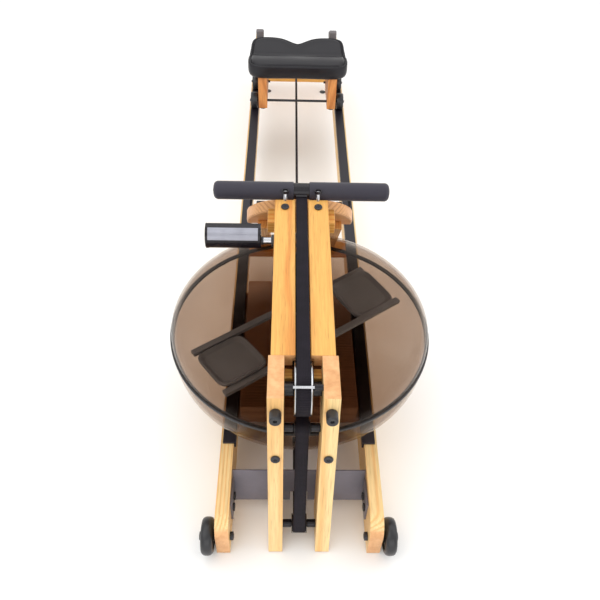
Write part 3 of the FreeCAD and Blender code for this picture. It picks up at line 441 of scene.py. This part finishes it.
def dress_frame():
    """The pieces whose CAD shape only needs softer edges and its material."""
    for node, slot, material, width in (
            ("left_rail", "ash_wood", "rail", 0.0025), ("right_rail", "ash_wood", "rail", 0.0025),
            ("rear_foot", "ash_wood", "cross", 0.002),
            ("left_leg", "ash_wood", "leg", 0.002), ("right_leg", "ash_wood", "leg", 0.002),
            ("left_beam", "ash_wood", "beam", 0.0016), ("right_beam", "ash_wood", "beam", 0.0016),
            ("cross_blocks", "ash_wood", "cross", 0.0015), ("tank_deck", "ash_wood", "deck", 0.002),
            ("footboard", "ash_wood", "board", 0.0035),
            ("footboard_struts", "ash_wood", "strut", 0.0015),
            ("strut_crossbar", "ash_wood", "cross", 0.0015),
            ("left_carriage_side", "ash_wood", "carriage", 0.003),
            ("right_carriage_side", "ash_wood", "carriage", 0.003),
            ("carriage_cross_board", "ash_wood", "carriage", 0.0015),
            ("seat_tracks", "track_black", "track", 0.0008),
            ("front_spacer", "steel_black", "coat", 0.0012),
            ("floor_pads", "rubber_black", "rubber", 0.0008),
            ("leg_bumpers", "rubber_black", "rubber", 0.0022),
            ("socket_bolts", "steel_black", "black_steel", 0.0012),
            ("tank_gasket", "rubber_black", "rubber", 0.0012),
            ("fill_plug", "rubber_black", "rubber", 0.0015),
            ("shaft_bearings", "pulley_black", "gloss", 0.0008),
            ("rotor_shaft", "steel_bright", "upright_steel", 0.001),
            ("axle_collars", "pulley_black", "gloss", 0.0012),
            ("idler_roller", "pulley_black", "gloss", 0.0004),
            ("lower_pulley", "pulley_black", "gloss", 0.0006),
            ("recoil_cord", "cord_black", "cord", 0.0),
            ("cord_anchors", "steel_black", "black_steel", 0.001),
            ("handle_core", "steel_bright", "steel", 0.001),
            ("belt_clasp", "steel_black", "gloss", 0.0012),
            ("monitor_housing", "monitor_shell", "gloss", 0.0012),
            ("monitor_screen", "screen_glass", "screen", 0.0004),
            ("monitor_key_1", "key_grey", "key", 0.0008),
            ("monitor_key_2", "key_grey", "key", 0.0008),
            ("seat_axles", "steel_black", "black_steel", 0.0005),
            ("carriage_bumpers", "rubber_black", "rubber", 0.0012),
            ("wheel_bolts", "steel_black", "black_steel", 0.001)):
        refined(node, M[material], width)


def build_end_stops():
    """The stops, with their inner faces a hair clear of the carriage sides that pass them."""
    stops = refined("end_stops", M["stop"], 0.0035)
    for vertex in stops.data.vertices:
        if abs(vertex.co.x) < 0.1325:
            vertex.co.x += math.copysign(0.0007, vertex.co.x)


def bowl(rim, low, flat, power, radius, count):
    """A (radius, height) outline from the rim in to a flat end, as part of a superellipse."""
    points = []
    for step in range(count):
        turn = math.pi / 2 * step / (count - 1)
        points.append((flat + (radius - flat) * math.cos(turn) ** (2 / power),
                       rim + (low - rim) * math.sin(turn) ** (2 / power)))
    return points


def build_tank():
    """Two smooth clear bowls with real walls, meeting at the dark seam."""
    for name, rim, end, flat, power, way in (
            ("tank_lower_shell", SEAM - 0.003, TANK_LOW, 0.170, 2.8, 1),
            ("tank_upper_shell", SEAM + 0.003, TANK_TOP, 0.100, 2.4, -1)):
        outside = bowl(rim, end, flat, power, TANK_RADIUS - 0.003, 26)
        inside = bowl(rim, end + way * WALL, flat, power, TANK_RADIUS - 0.003, 26)
        inside = [(radius - WALL, height) for radius, height in inside]
        profile = outside + [(0.022, outside[-1][1]), (0.022, inside[-1][1])] + inside[::-1]
        verts, faces = lathe(profile, TANK, Z_AXIS, 144)
        added(name + "_clear", verts, faces, M["tank"], "frame", [name], "tank_smoke", 35.0)


def tray(side):
    """One scooped paddle blade: a rounded rectangular tray with a raised rim."""
    tilt = math.radians(6) * side
    rings = []
    count = 48
    for inset, drop in ((0.004, -0.003), (0.0, 0.0), (0.0, 0.004), (0.0035, 0.006),
                        (0.007, 0.003), (0.012, -0.001)):
        ring = []
        for step in range(count):
            turn = 2 * math.pi * step / count
            c, s = math.cos(turn), math.sin(turn)
            along = math.copysign(abs(c) ** 0.36, c) * (0.057 - inset)
            across = math.copysign(abs(s) ** 0.36, s) * (0.058 - inset)
            ring.append((along, across, drop))
        rings.append(ring)
    turned = Matrix.Rotation(ROTOR_TURN, 4, "Z") @ Matrix.Translation((side * 0.174, 0, 0.2565))
    turned = Matrix.Translation(TANK) @ turned @ Matrix.Rotation(tilt, 4, "X")
    return swept([[turned @ Vector(point) for point in ring] for ring in rings])


def build_rotor():
    """The paddle: two bars beside a hub, with a scooped tray at each end."""
    turn = Matrix.Translation(TANK) @ Matrix.Rotation(ROTOR_TURN, 4, "Z")

    def bar(x, y, z, length, width, height):
        verts, faces = block((x, y, z), (length, width, height))
        return [turn @ point for point in verts], faces

    hub = [(0.009, 0.168), (0.018, 0.168), (0.022, 0.172), (0.024, 0.236), (0.026, 0.246),
           (0.026, 0.264), (0.022, 0.268), (0.009, 0.268)]
    shapes = [lathe(hub, TANK, Z_AXIS, 64), tray(1), tray(-1)]
    shapes += [bar(-0.231, offset, 0.252, 0.462, 0.014, 0.009) for offset in (-0.070, 0.056)]
    shapes.append(bar(-0.026, -0.070, 0.2535, 0.052, 0.140, 0.006))
    piece = added("paddle_fine", *merged(*shapes), M["rotor"], "rotor", ["rotor_paddle"],
                  "rotor_grey", 40.0)
    bevelled(piece, 0.0018)


def build_spool():
    """Three flanges, with belt wound in the two bands between them."""
    base, coil, gap, flange = SPOOL_BASE, SPOOL_COIL, SPOOL_GAP, SPOOL_FLANGE
    bore, rim = 0.0085, 0.060
    profile, height = [(bore, base)], base
    for _ in range(2):
        profile += [(rim - 0.0005, height), (rim, height + flange / 2),
                    (rim - 0.0005, height + flange), (coil - 0.004, height + flange)]
        height += flange + gap
        profile.append((coil - 0.004, height))
    profile += [(rim - 0.0005, height), (rim, height + flange / 2), (rim - 0.0005, height + flange),
                (bore, height + flange)]
    added("spool_fine", *lathe(profile, TANK, Z_AXIS, 96), M["gloss"], "spool", ["belt_spool"],
          "pulley_black", 35.0)
    for number in range(2):
        low = base + flange + number * (gap + flange) + 0.0003
        wound = [(coil - 0.0035, low), (coil - 0.0003, low), (coil, low + 0.0005),
                 (coil, low + gap - 0.0011), (coil - 0.0003, low + gap - 0.0006),
                 (coil - 0.0035, low + gap - 0.0006)]
        added(f"spool_winding_{number + 1}", *lathe(wound, TANK, Z_AXIS, 96), M["belt"], "spool",
              (), "belt_webbing", 35.0)


def build_top_pulley():
    """A drum with rounded flanges and a shallow ring hollow in each side."""
    half, rim, tread = 0.013, 0.048, 0.045
    edge = half + 0.0025
    profile = [(0.00505, -edge), (0.012, -edge), (0.014, -edge + 0.0018), (0.040, -edge + 0.0018),
               (0.042, -edge), (rim - 0.0006, -edge), (rim, -edge + 0.0008), (rim - 0.0006, -half),
               (tread, -half), (tread, half), (rim - 0.0006, half), (rim, edge - 0.0008),
               (rim - 0.0006, edge), (0.042, edge), (0.040, edge - 0.0018), (0.014, edge - 0.0018),
               (0.012, edge), (0.00505, edge)]
    centre = centred(DRUM)
    verts, faces = lathe(profile, centre, X_AXIS, 96)
    piece = added("top_pulley_fine", verts, faces, [M["gloss"], M["steel"]], "drum", ["top_pulley"],
                  "pulley_black", 35.0)
    for face in piece.data.polygons:
        middle = face.center - centre
        if math.hypot(middle.y, middle.z) > 0.0455 and abs(middle.x) > half:
            face.material_index = 1


def rod(name, place, first, last, radius, material, inner=0.0):
    """A rod or a sleeve along X, with the edges of its ends broken."""
    edge = 0.0006
    profile = [(inner, first), (radius - edge, first), (radius, first + edge),
               (radius, last - edge), (radius - edge, last), (inner, last)]
    verts, faces = lathe(profile, centred(place), X_AXIS, 40)
    added(name, verts, faces, M[material], "frame", ["pulley_axles"], "steel_bright", 40.0)


def build_axles():
    """Dark axles through the legs, and a bright keeper rod in sleeves over the belt."""
    for name, place in (("drum_axle", DRUM), ("idler_axle", IDLER), ("roller_axle", LOW_ROLLER)):
        rod(name, place, -0.061, 0.061, 0.005, "black_steel")
    rod("keeper_rod", KEEPER, -0.033, 0.033, 0.0025, "steel")
    rod("keeper_sleeve_left", KEEPER, -0.033, -0.018, 0.0055, "gloss", 0.0026)
    rod("keeper_sleeve_right", KEEPER, 0.018, 0.033, 0.0055, "gloss", 0.0026)


# ---------------------------------------------------------------- belts

def strip(path, ribs=None):
    """A flat belt through (centre, wide, deep) places; ribs gives a height for each place."""
    thin, half, soft = BELT_THIN, BELT_HALF, BELT_HALF - 0.0006
    rings = []
    for index, (centre, wide, deep) in enumerate(path):
        top = thin + (ribs[index] if ribs else 0.0)
        rings.append([centre - wide * half + deep * (-thin * 0.4),
                      centre - wide * soft - deep * thin, centre + wide * soft - deep * thin,
                      centre + wide * half - deep * (thin * 0.4),
                      centre + wide * half + deep * (top * 0.4), centre + wide * soft + deep * top,
                      centre - wide * soft + deep * top,
                      centre - wide * half + deep * (top * 0.4)])
    return swept(rings)


def flat_places(points):
    """Places along a path in the middle plane, with the belt's width along X."""
    places = []
    for index, point in enumerate(points):
        before, after = points[max(index - 1, 0)], points[min(index + 1, len(points) - 1)]
        along = (after - before).normalized()
        places.append((point, X_AXIS.copy(), along.cross(X_AXIS).normalized()))
    return places


def rim_point(centre, radius, degrees):
    """A point on a circle in the middle plane; its angle is from +Y towards +Z."""
    turn = math.radians(degrees)
    return at(centre[0] + radius * math.cos(turn), 0, centre[1] + radius * math.sin(turn))


def arc(centre, radius, start, end, count):
    """Points of an arc in the middle plane, between two angles in degrees."""
    return [rim_point(centre, radius, start + (end - start) * step / count)
            for step in range(count + 1)]


def run(first, last, count):
    """Points evenly along a straight line, without its first end."""
    return [first.lerp(last, step / count) for step in range(1, count + 1)]


def twist(start, gate, goal, count=30):
    """A belt's quarter turn from flat to upright, then its way onto the spool."""
    places = []
    forward = (gate - start).normalized()
    flat = (X_AXIS - forward * X_AXIS.dot(forward)).normalized()
    up = flat.cross(forward)
    for step in range(1, count + 1):
        part = step / count
        turn = math.pi / 2 * (3 * part ** 2 - 2 * part ** 3)
        wide = flat * math.cos(turn) + up * math.sin(turn)
        places.append((start.lerp(gate, part), wide, wide.cross(forward)))
    last = (goal - gate).normalized()
    for point in run(gate, goal, 6):
        places.append((point, Z_AXIS.copy(), Z_AXIS.cross(last).normalized()))
    return places


def tangent(centre, radius, goal, below):
    """The angle, in degrees, where a line from a circle's rim passes through a goal."""
    dy, dz = goal[0] - centre[0], goal[1] - centre[1]
    heading = math.degrees(math.atan2(dz, dy))
    swing = math.degrees(math.acos(radius / math.hypot(dy, dz)))
    return heading - swing if below else heading + swing


def winding(band):
    """The place of the spool's lower (0) or upper (1) winding, in its middle."""
    step = SPOOL_GAP + SPOOL_FLANGE
    return TANK_STATION, SPOOL_BASE + SPOOL_FLANGE + SPOOL_GAP / 2 + band * step


def spool_ends(side, band, start):
    """The gate at the spool's rim and the goal on its coil, for one belt."""
    rim_station = 0.335
    station, height = winding(band)
    goal = at(station, side * 0.0398, height)
    part = (rim_station - (start.y - FRONT_Y)) / (station - (start.y - FRONT_Y))
    return at(rim_station, goal.x * part, height), goal


def build_drive_belt():
    """The belt from the handle, ribbed where it wraps the drum, then turned onto the spool."""
    radius, steps, rib_pitch, rib_height, fade = 0.0463, 190, 0.0042, 0.0007, 12
    target = winding(1)
    top_angle = 90 + math.degrees(BEAM_ANGLE)
    low_angle = tangent(DRUM, radius, target, True) + 360
    wrap = arc(DRUM, radius, top_angle, low_angle, steps)
    low = wrap[-1]
    join = low.lerp(centred(target), 0.35)
    places = flat_places(wrap + run(low, join, 20))
    step = radius * math.radians(low_angle - top_angle) / steps
    ribs = []
    for index in range(len(places)):
        reach = min(1.0, index / fade, max(0.0, (steps - index) / fade))
        wave = 0.5 + 0.5 * math.sin(math.tau * index * step / rib_pitch)
        ribs.append(rib_height * reach * wave)
    gate, goal = spool_ends(-1, 1, join)
    places += twist(join, gate, goal)
    ribs += [0.0] * (len(places) - len(ribs))
    added("drive_belt_wrap", *strip(places, ribs), M["belt"], "frame", ["drive_belt"],
          "belt_webbing", 50.0)
    clasp = 0.0226
    start, end = wrap[0], on_beam(0, HANDLE_ALONG - clasp, HANDLE_ABOVE)
    reach = (end.y - start.y) / math.cos(BEAM_ANGLE)
    tail = start + ALONG_BEAM * reach
    top = added("drive_belt_run", *strip(flat_places([tail] + run(tail, start, 60))), M["belt"],
                None, ["drive_belt"], "belt_webbing", 50.0)
    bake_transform(top)


def build_recoil_strap():
    """The strap from the spool, over the idler and round the low roller to the cord."""
    r_idler, r_low = 0.0133, 0.0173
    target = winding(0)
    over = tangent(IDLER, r_idler, target, False)
    dy, dz = LOW_ROLLER[0] - IDLER[0], LOW_ROLLER[1] - IDLER[1]
    heading = math.degrees(math.atan2(dz, dy))
    swing = math.degrees(math.acos((r_idler - r_low) / math.hypot(dy, dz)))
    down = heading - swing
    leave = tangent(LOW_ROLLER, r_low, CORD_END, True)
    start = rim_point(IDLER, r_idler, over)
    join = start.lerp(centred(target), 0.5)
    wrap_idler = arc(IDLER, r_idler, over, down % 360, 26)
    wrap_low = arc(LOW_ROLLER, r_low, down % 360, leave % 360, 40)
    points = [join] + run(join, start, 20) + wrap_idler[1:]
    points += run(points[-1], wrap_low[0], 50) + wrap_low[1:]
    points += run(points[-1], centred(CORD_END), 30)
    gate, goal = spool_ends(1, 0, join)
    places = [(centre, -wide, deep) for centre, wide, deep in reversed(twist(join, gate, goal))]
    fixed = flat_places(points)
    added("recoil_strap_flat", *strip(fixed), M["belt"], "frame", ["recoil_strap"],
          "belt_webbing", 50.0)
    added("recoil_strap_turn", *strip(places + [(join, -X_AXIS, fixed[0][2])]), M["belt"], "frame",
          ["recoil_strap"], "belt_webbing", 50.0)


def build_foot_straps():
    """Webbing arches over the footboard, one for each foot."""
    width, radius, thick, steps = 0.0125, 0.0508, 0.0011, 60
    for side in (-1, 1):
        rings = []
        for step in range(steps + 1):
            turn = math.pi * step / steps
            flatten = 1 - 0.10 * math.sin(turn) ** 8
            x = side * 0.066 + radius * math.cos(turn)
            n = -0.028 - radius * math.sin(turn) * flatten
            out = Vector((math.cos(turn), 0, -math.sin(turn)))
            ring = []
            for u, push in ((-width, -thick), (width, -thick), (width, thick), (-width, thick)):
                ring.append(on_board(x + out.x * push, 0.0705 + u, n + out.z * push))
            rings.append(ring)
        added(f"foot_strap_{'left' if side < 0 else 'right'}", *swept(rings), M["belt"], "frame",
              ["foot_straps"], "belt_webbing", 40.0)


# ---------------------------------------------------------------- handle and monitor

def build_handle():
    """Foam grips with fine rings and domed ends, each with a small moulded nub."""
    centre = on_beam(0, HANDLE_ALONG, HANDLE_ABOVE)
    first, last, radius, groove, steps = 0.019, 0.1795, 0.0199, 0.00022, 84
    shapes = []
    for side in (-1, 1):
        profile = [(0.0115, 0.0172), (0.0192, 0.0172), (radius, 0.0182)]
        for step in range(steps + 1):
            reach = first + (last - first) * step / steps
            profile.append((radius - (groove if step % 2 else 0.0), reach))
        profile += [(0.0196, 0.1820), (0.0186, 0.1847), (0.0168, 0.1871), (0.0140, 0.1890),
                    (0.0100, 0.1901), (0.0050, 0.1906), (0.0032, 0.1907), (0.0026, 0.1915),
                    (0.0, 0.1915), (0.0, 0.1835), (0.0115, 0.1835)]
        shapes.append(lathe(profile, centre, X_AXIS * side, 72))
    added("grips_fine", *merged(*shapes), M["grip"], "handle", ["handle_grips"], "grip_foam", 48.0)


def build_rest_pins():
    """Bright posts that stand in front of the handle, each in a dark round cup at its top."""
    axis = Vector((0, math.sin(math.radians(8)), math.cos(math.radians(8))))
    for side, name in ((-1, "left"), (1, "right")):
        foot = at(0.563, side * 0.035, 0.450)
        post = [(0.0, 0.0), (0.004, 0.0), (0.004, 0.036), (0.0033, 0.0375), (0.0, 0.0375)]
        added(f"rest_pin_{name}", *lathe(post, foot, axis, 32), M["upright_steel"], "frame",
              ["handle_rest_pins"], "steel_bright", 40.0)
        cup = [(0.0042, 0.0335), (0.0072, 0.0335), (0.0078, 0.0342), (0.0078, 0.0394),
               (0.0070, 0.0400), (0.0060, 0.0400), (0.0056, 0.0392), (0.0056, 0.0378),
               (0.0042, 0.0378)]
        added(f"rest_cup_{name}", *lathe(cup, foot, axis, 40), M["gloss"], "frame", (),
              "steel_black", 40.0)


def monitor_outline(grow):
    """The housing's D-shaped section, a little smaller or larger, as (y, z) pairs."""
    tall, deep = 0.050 + grow, 0.034 + grow
    radius = (tall ** 2 / 4 + deep ** 2) / (2 * deep)
    span = math.asin(tall / 2 / radius)
    middle = -deep / 2 + radius
    return [(middle - radius * math.cos(turn), radius * math.sin(turn))
            for turn in (span * (1 - step / 14) for step in range(29))]


def build_monitor():
    """A brushed upper skin and dark caps over the housing, and its arm."""
    height = 0.444
    middle = at(0.462, 0, height)
    skin = []
    for x in (-0.1925, -0.0885):
        outside = [(y, z) for y, z in monitor_outline(0.0012) if z > 0.006]
        inside = [(y, z) for y, z in monitor_outline(-0.0002) if z > 0.006]
        skin.append([Vector((x, middle.y + y, middle.z + z)) for y, z in outside + inside[::-1]])
    added("monitor_skin", *swept(skin), M["shell"], "monitor", (), "monitor_shell", 50.0)
    for name, x, outward in (("outer", -0.197, -1), ("inner", -0.084, 1)):
        caps = []
        for depth, grow in ((-0.0055, 0.0014), (-0.0008, 0.0016), (0.0, 0.0002)):
            caps.append([Vector((x + outward * depth, middle.y + y, middle.z + z))
                         for y, z in monitor_outline(grow)])
        added(f"monitor_cap_{name}", *swept(caps), M["gloss"], "monitor", (), "pulley_black", 40.0)
        for y, z in ((-0.004, -0.013), (0.006, 0.010)):
            screw = [(0.0, 0.0), (0.0026, 0.0), (0.0026, 0.0003), (0.0020, 0.0009), (0.0, 0.0010)]
            verts, faces = lathe(screw, Vector((x, middle.y + y, middle.z + z)),
                                 X_AXIS * outward, 20)
            added(f"monitor_screw_{name}_{'upper' if z > 0 else 'lower'}", verts, faces, M["steel"],
                  "monitor", (), "steel_bright", 40.0)
    arm = [(0.0, -0.0949), (0.0040, -0.0949), (0.0040, -0.0834), (0.0078, -0.0830),
           (0.0086, -0.0822), (0.0086, -0.0790), (0.0070, -0.0782), (0.0070, -0.0630),
           (0.0110, -0.0622), (0.0120, -0.0612), (0.0120, -0.0574), (0.0, -0.0574)]
    verts, faces = lathe(arm, at(0.455, 0, height), X_AXIS, 48)
    piece = added("monitor_arm_fine", verts, faces, [M["black_steel"], M["steel"]], "frame",
                  ["monitor_arm"], "steel_black", 40.0)
    for face in piece.data.polygons:
        if -0.078 < face.center.x < -0.063:
            face.material_index = 1


# ---------------------------------------------------------------- seat and wheels

def seat_outline(count=240):
    """The pad's plan as (x, t): rounded corners, a slimmer back and a notch in it."""
    points = []
    for step in range(count):
        turn = math.tau * (step + 0.5) / count
        c, s = math.cos(turn), math.sin(turn)
        reach = ((abs(c) / SEAT_HALF) ** 7 + (abs(s) / SEAT_DEEP) ** 7) ** (-1 / 7)
        t = reach * s / SEAT_DEEP
        x = reach * c * (1 - 0.053 * (t + 1) / 2)
        notch = 0.019 * math.exp(-abs(x / 0.036) ** 1.5) * max(0.0, t) ** 4
        points.append((x, SEAT_ALONG + t * SEAT_DEEP - notch))
    return points


def seat_top(x, t):
    """The moulded top: a broad hollow, a raised front roll and a dip before the notch."""
    front, long = 1.460, 0.218
    part = (t - front) / long
    spread = 0.24 if part > 0.58 else 0.17
    hollow = math.exp(-((part - 0.58) / spread) ** 2)
    roll = math.exp(-((part - 0.17) / 0.16) ** 2)
    dip = math.exp(-(x / 0.044) ** 2) * max(0.0, part - 0.45) / 0.55
    wings = (abs(x) / SEAT_HALF) ** 2.5
    return 0.1750 - 0.0225 * hollow + 0.0035 * roll - 0.0165 * dip + 0.0030 * wings * part


def build_seat():
    """The moulded pad as one closed form: underside, sides, front bead, groove and top."""
    outline = seat_outline()
    middle = (0.0, 1.566)
    base, side = 0.1263, 0.1640
    rings = []

    def ring(inset, height, scale=1.0):
        points = []
        for x, t in outline:
            away = Vector((x - middle[0], t - middle[1]))
            shrink = (1 - inset / max(away.length, 1e-6)) * scale
            px, pt = middle[0] + away.x * shrink, middle[1] + away.y * shrink
            points.append(on_rail(px, pt, height(px, pt)))
        rings.append(points)

    for inset, lift in ((0.110, 0.0), (0.030, 0.0), (0.016, 0.0003), (0.0085, 0.0028),
                        (0.0036, 0.0075), (0.0010, 0.0140), (0.0, 0.0240), (0.0002, 0.0300)):
        ring(inset, lambda x, t, lift=lift: base + lift)
    for inset, drop in ((0.0008, 0.0040), (0.0022, 0.0012), (0.0042, 0.0), (0.0062, 0.0006),
                        (0.0076, 0.0034), (0.0094, 0.0050), (0.0112, 0.0036), (0.0128, 0.0004)):
        ring(inset, lambda x, t, drop=drop: side + 0.80 * (seat_top(x, t) - side) - drop)
    ring(0.0150, lambda x, t: side + 0.9 * (seat_top(x, t) - side))
    steps = 24
    for step in range(steps):
        ring(0.0180, seat_top, 1 - step / steps)
    pad = added("seat_pad_moulded", *swept(rings), M["seat"], "seat", ["seat_pad"], "seat_skin",
                180.0)


def build_wheels():
    """Tyres with rounded shoulders over hubs with a raised ring."""
    half = 0.0115
    seat = [(0.00405, -half), (0.009, -half), (0.0105, -half + 0.0012), (0.019, -half + 0.0012),
            (0.0205, -half), (0.0245, -half), (0.0263, -half + 0.0012), (0.027, -half + 0.003),
            (0.027, half - 0.003), (0.0263, half - 0.0012), (0.0245, half), (0.0205, half),
            (0.019, half - 0.0012), (0.0105, half - 0.0012), (0.009, half), (0.00405, half)]
    track, clearance, radius = 0.005, 0.0003, 0.027
    axle_n = track + clearance + radius
    for end, t in (("front", 1.497), ("rear", 1.625)):
        for side, name in ((-1, "left"), (1, "right")):
            centre = on_rail(side * 0.1475, t, axle_n)
            added(f"seat_wheel_{end}_{name}_fine", *lathe(seat, centre, X_AXIS, 72), M["tread"],
                  f"{end}_{name}_seat_wheel", [f"seat_wheel_{end}_{name}"], "rubber_black", 35.0)
    half = 0.012
    tyre = [(0.00505, -half), (0.012, -half), (0.014, -half + 0.0020), (0.024, -half + 0.0024),
            (0.026, -half + 0.0004), (0.028, -half), (0.0315, -half + 0.0006),
            (0.0345, -half + 0.0026), (0.0363, -half + 0.0058), (0.037, -half + 0.0095)]
    tyre += [(radius, -height) for radius, height in tyre[::-1]]
    for side, name in ((-1, "left"), (1, "right")):
        centre = at(0.018, side * 0.182, 0.040)
        added(f"transport_wheel_{name}_fine", *lathe(tyre, centre, X_AXIS, 96), M["tread"],
              f"{name}_wheel", [f"{name}_transport_wheel"], "rubber_black", 28.0)


def build_heel_rests():
    """The two sliding rests, with their edges well rounded."""
    for side in ("left", "right"):
        refined(f"{side}_heel_rest", M["gloss"], 0.0028, 3)


# ---------------------------------------------------------------- stage, light and camera

def build_stage():
    """A plain white floor, which isn't part of the object."""
    mesh = bpy.data.meshes.new("floor")
    size = 9.0
    mesh.from_pydata([(-size, -size, 0), (size, -size, 0), (size, size, 0), (-size, size, 0)], [],
                     [(0, 1, 2, 3)])
    floor = bpy.data.objects.new("floor", mesh)
    bpy.context.scene.collection.objects.link(floor)
    graph = Graph("floor_white", Specular_IOR_Level=0.2)
    tint = graph.noise(graph.coords["Object"], 3.0, 2.0)
    mesh.materials.append(graph.finish(graph.ramp(tint, (0.3, (0.955, 0.955, 0.95)),
                                                  (0.7, (0.97, 0.97, 0.965))),
                                       graph.ramp(tint, (0.3, 0.55), (0.7, 0.7))))


def add_light(name, place, target, size, power):
    """A rectangular lamp at a place, turned to a target."""
    data = bpy.data.lights.new(name, "AREA")
    data.shape = "RECTANGLE"
    data.size, data.size_y = size
    data.energy = power
    light = bpy.data.objects.new(name, data)
    light.location = place
    away = Vector(place) - Vector(target)
    light.rotation_euler = away.to_track_quat("Z", "Y").to_euler()
    bpy.context.scene.collection.objects.link(light)


def build_light():
    """A bright studio with four broad lamps."""
    world = bpy.data.worlds.new("studio")
    bpy.context.scene.world = world
    world.use_nodes = True
    back = world.node_tree.nodes["Background"]
    back.inputs["Color"].default_value = (1.0, 0.995, 0.985, 1)
    back.inputs["Strength"].default_value = 0.92
    add_light("key", (-1.5, -1.3, 2.6), (0, -0.2, 0.2), (2.6, 2.6), 23)
    add_light("side", (2.0, -0.4, 2.0), (0, -0.4, 0.2), (2.2, 2.2), 12)
    add_light("top", (0.0, 0.9, 3.0), (0, 0.1, 0.2), (3.4, 2.4), 22)
    add_light("front", (0.2, -4.4, 1.5), (0, -0.8, 0.2), (4.0, 2.4), 31)
    bpy.context.scene.view_settings.view_transform = "Standard"


def build_camera():
    """The view from above the front end, looking down along the machine."""
    pitch, yaw, roll = (math.radians(value) for value in (44.76, 1.85, 1.94))
    forward = Vector((math.sin(yaw) * math.cos(pitch), math.cos(yaw) * math.cos(pitch),
                      -math.sin(pitch)))
    right = Vector((math.cos(yaw), -math.sin(yaw), 0))
    up = right.cross(forward)
    across = right * math.cos(roll) + up * math.sin(roll)
    upward = -right * math.sin(roll) + up * math.cos(roll)
    data = bpy.data.cameras.new("camera")
    data.sensor_width = 36.0
    data.lens = data.sensor_width * 1.048
    data.clip_end = 40.0
    camera = bpy.data.objects.new("camera", data)
    place = Matrix((across, upward, -forward)).transposed().to_4x4()
    place.translation = Vector((-0.032, -1.5795, 1.265))
    camera.matrix_world = place
    bpy.context.scene.collection.objects.link(camera)
    bpy.context.scene.camera = camera


build_camera()
dress_frame()
build_end_stops()
build_tank()
build_rotor()
build_spool()
build_top_pulley()
build_axles()
build_drive_belt()
build_recoil_strap()
build_foot_straps()
build_handle()
build_rest_pins()
build_monitor()
build_seat()
build_wheels()
build_heel_rests()
build_stage()
build_light()
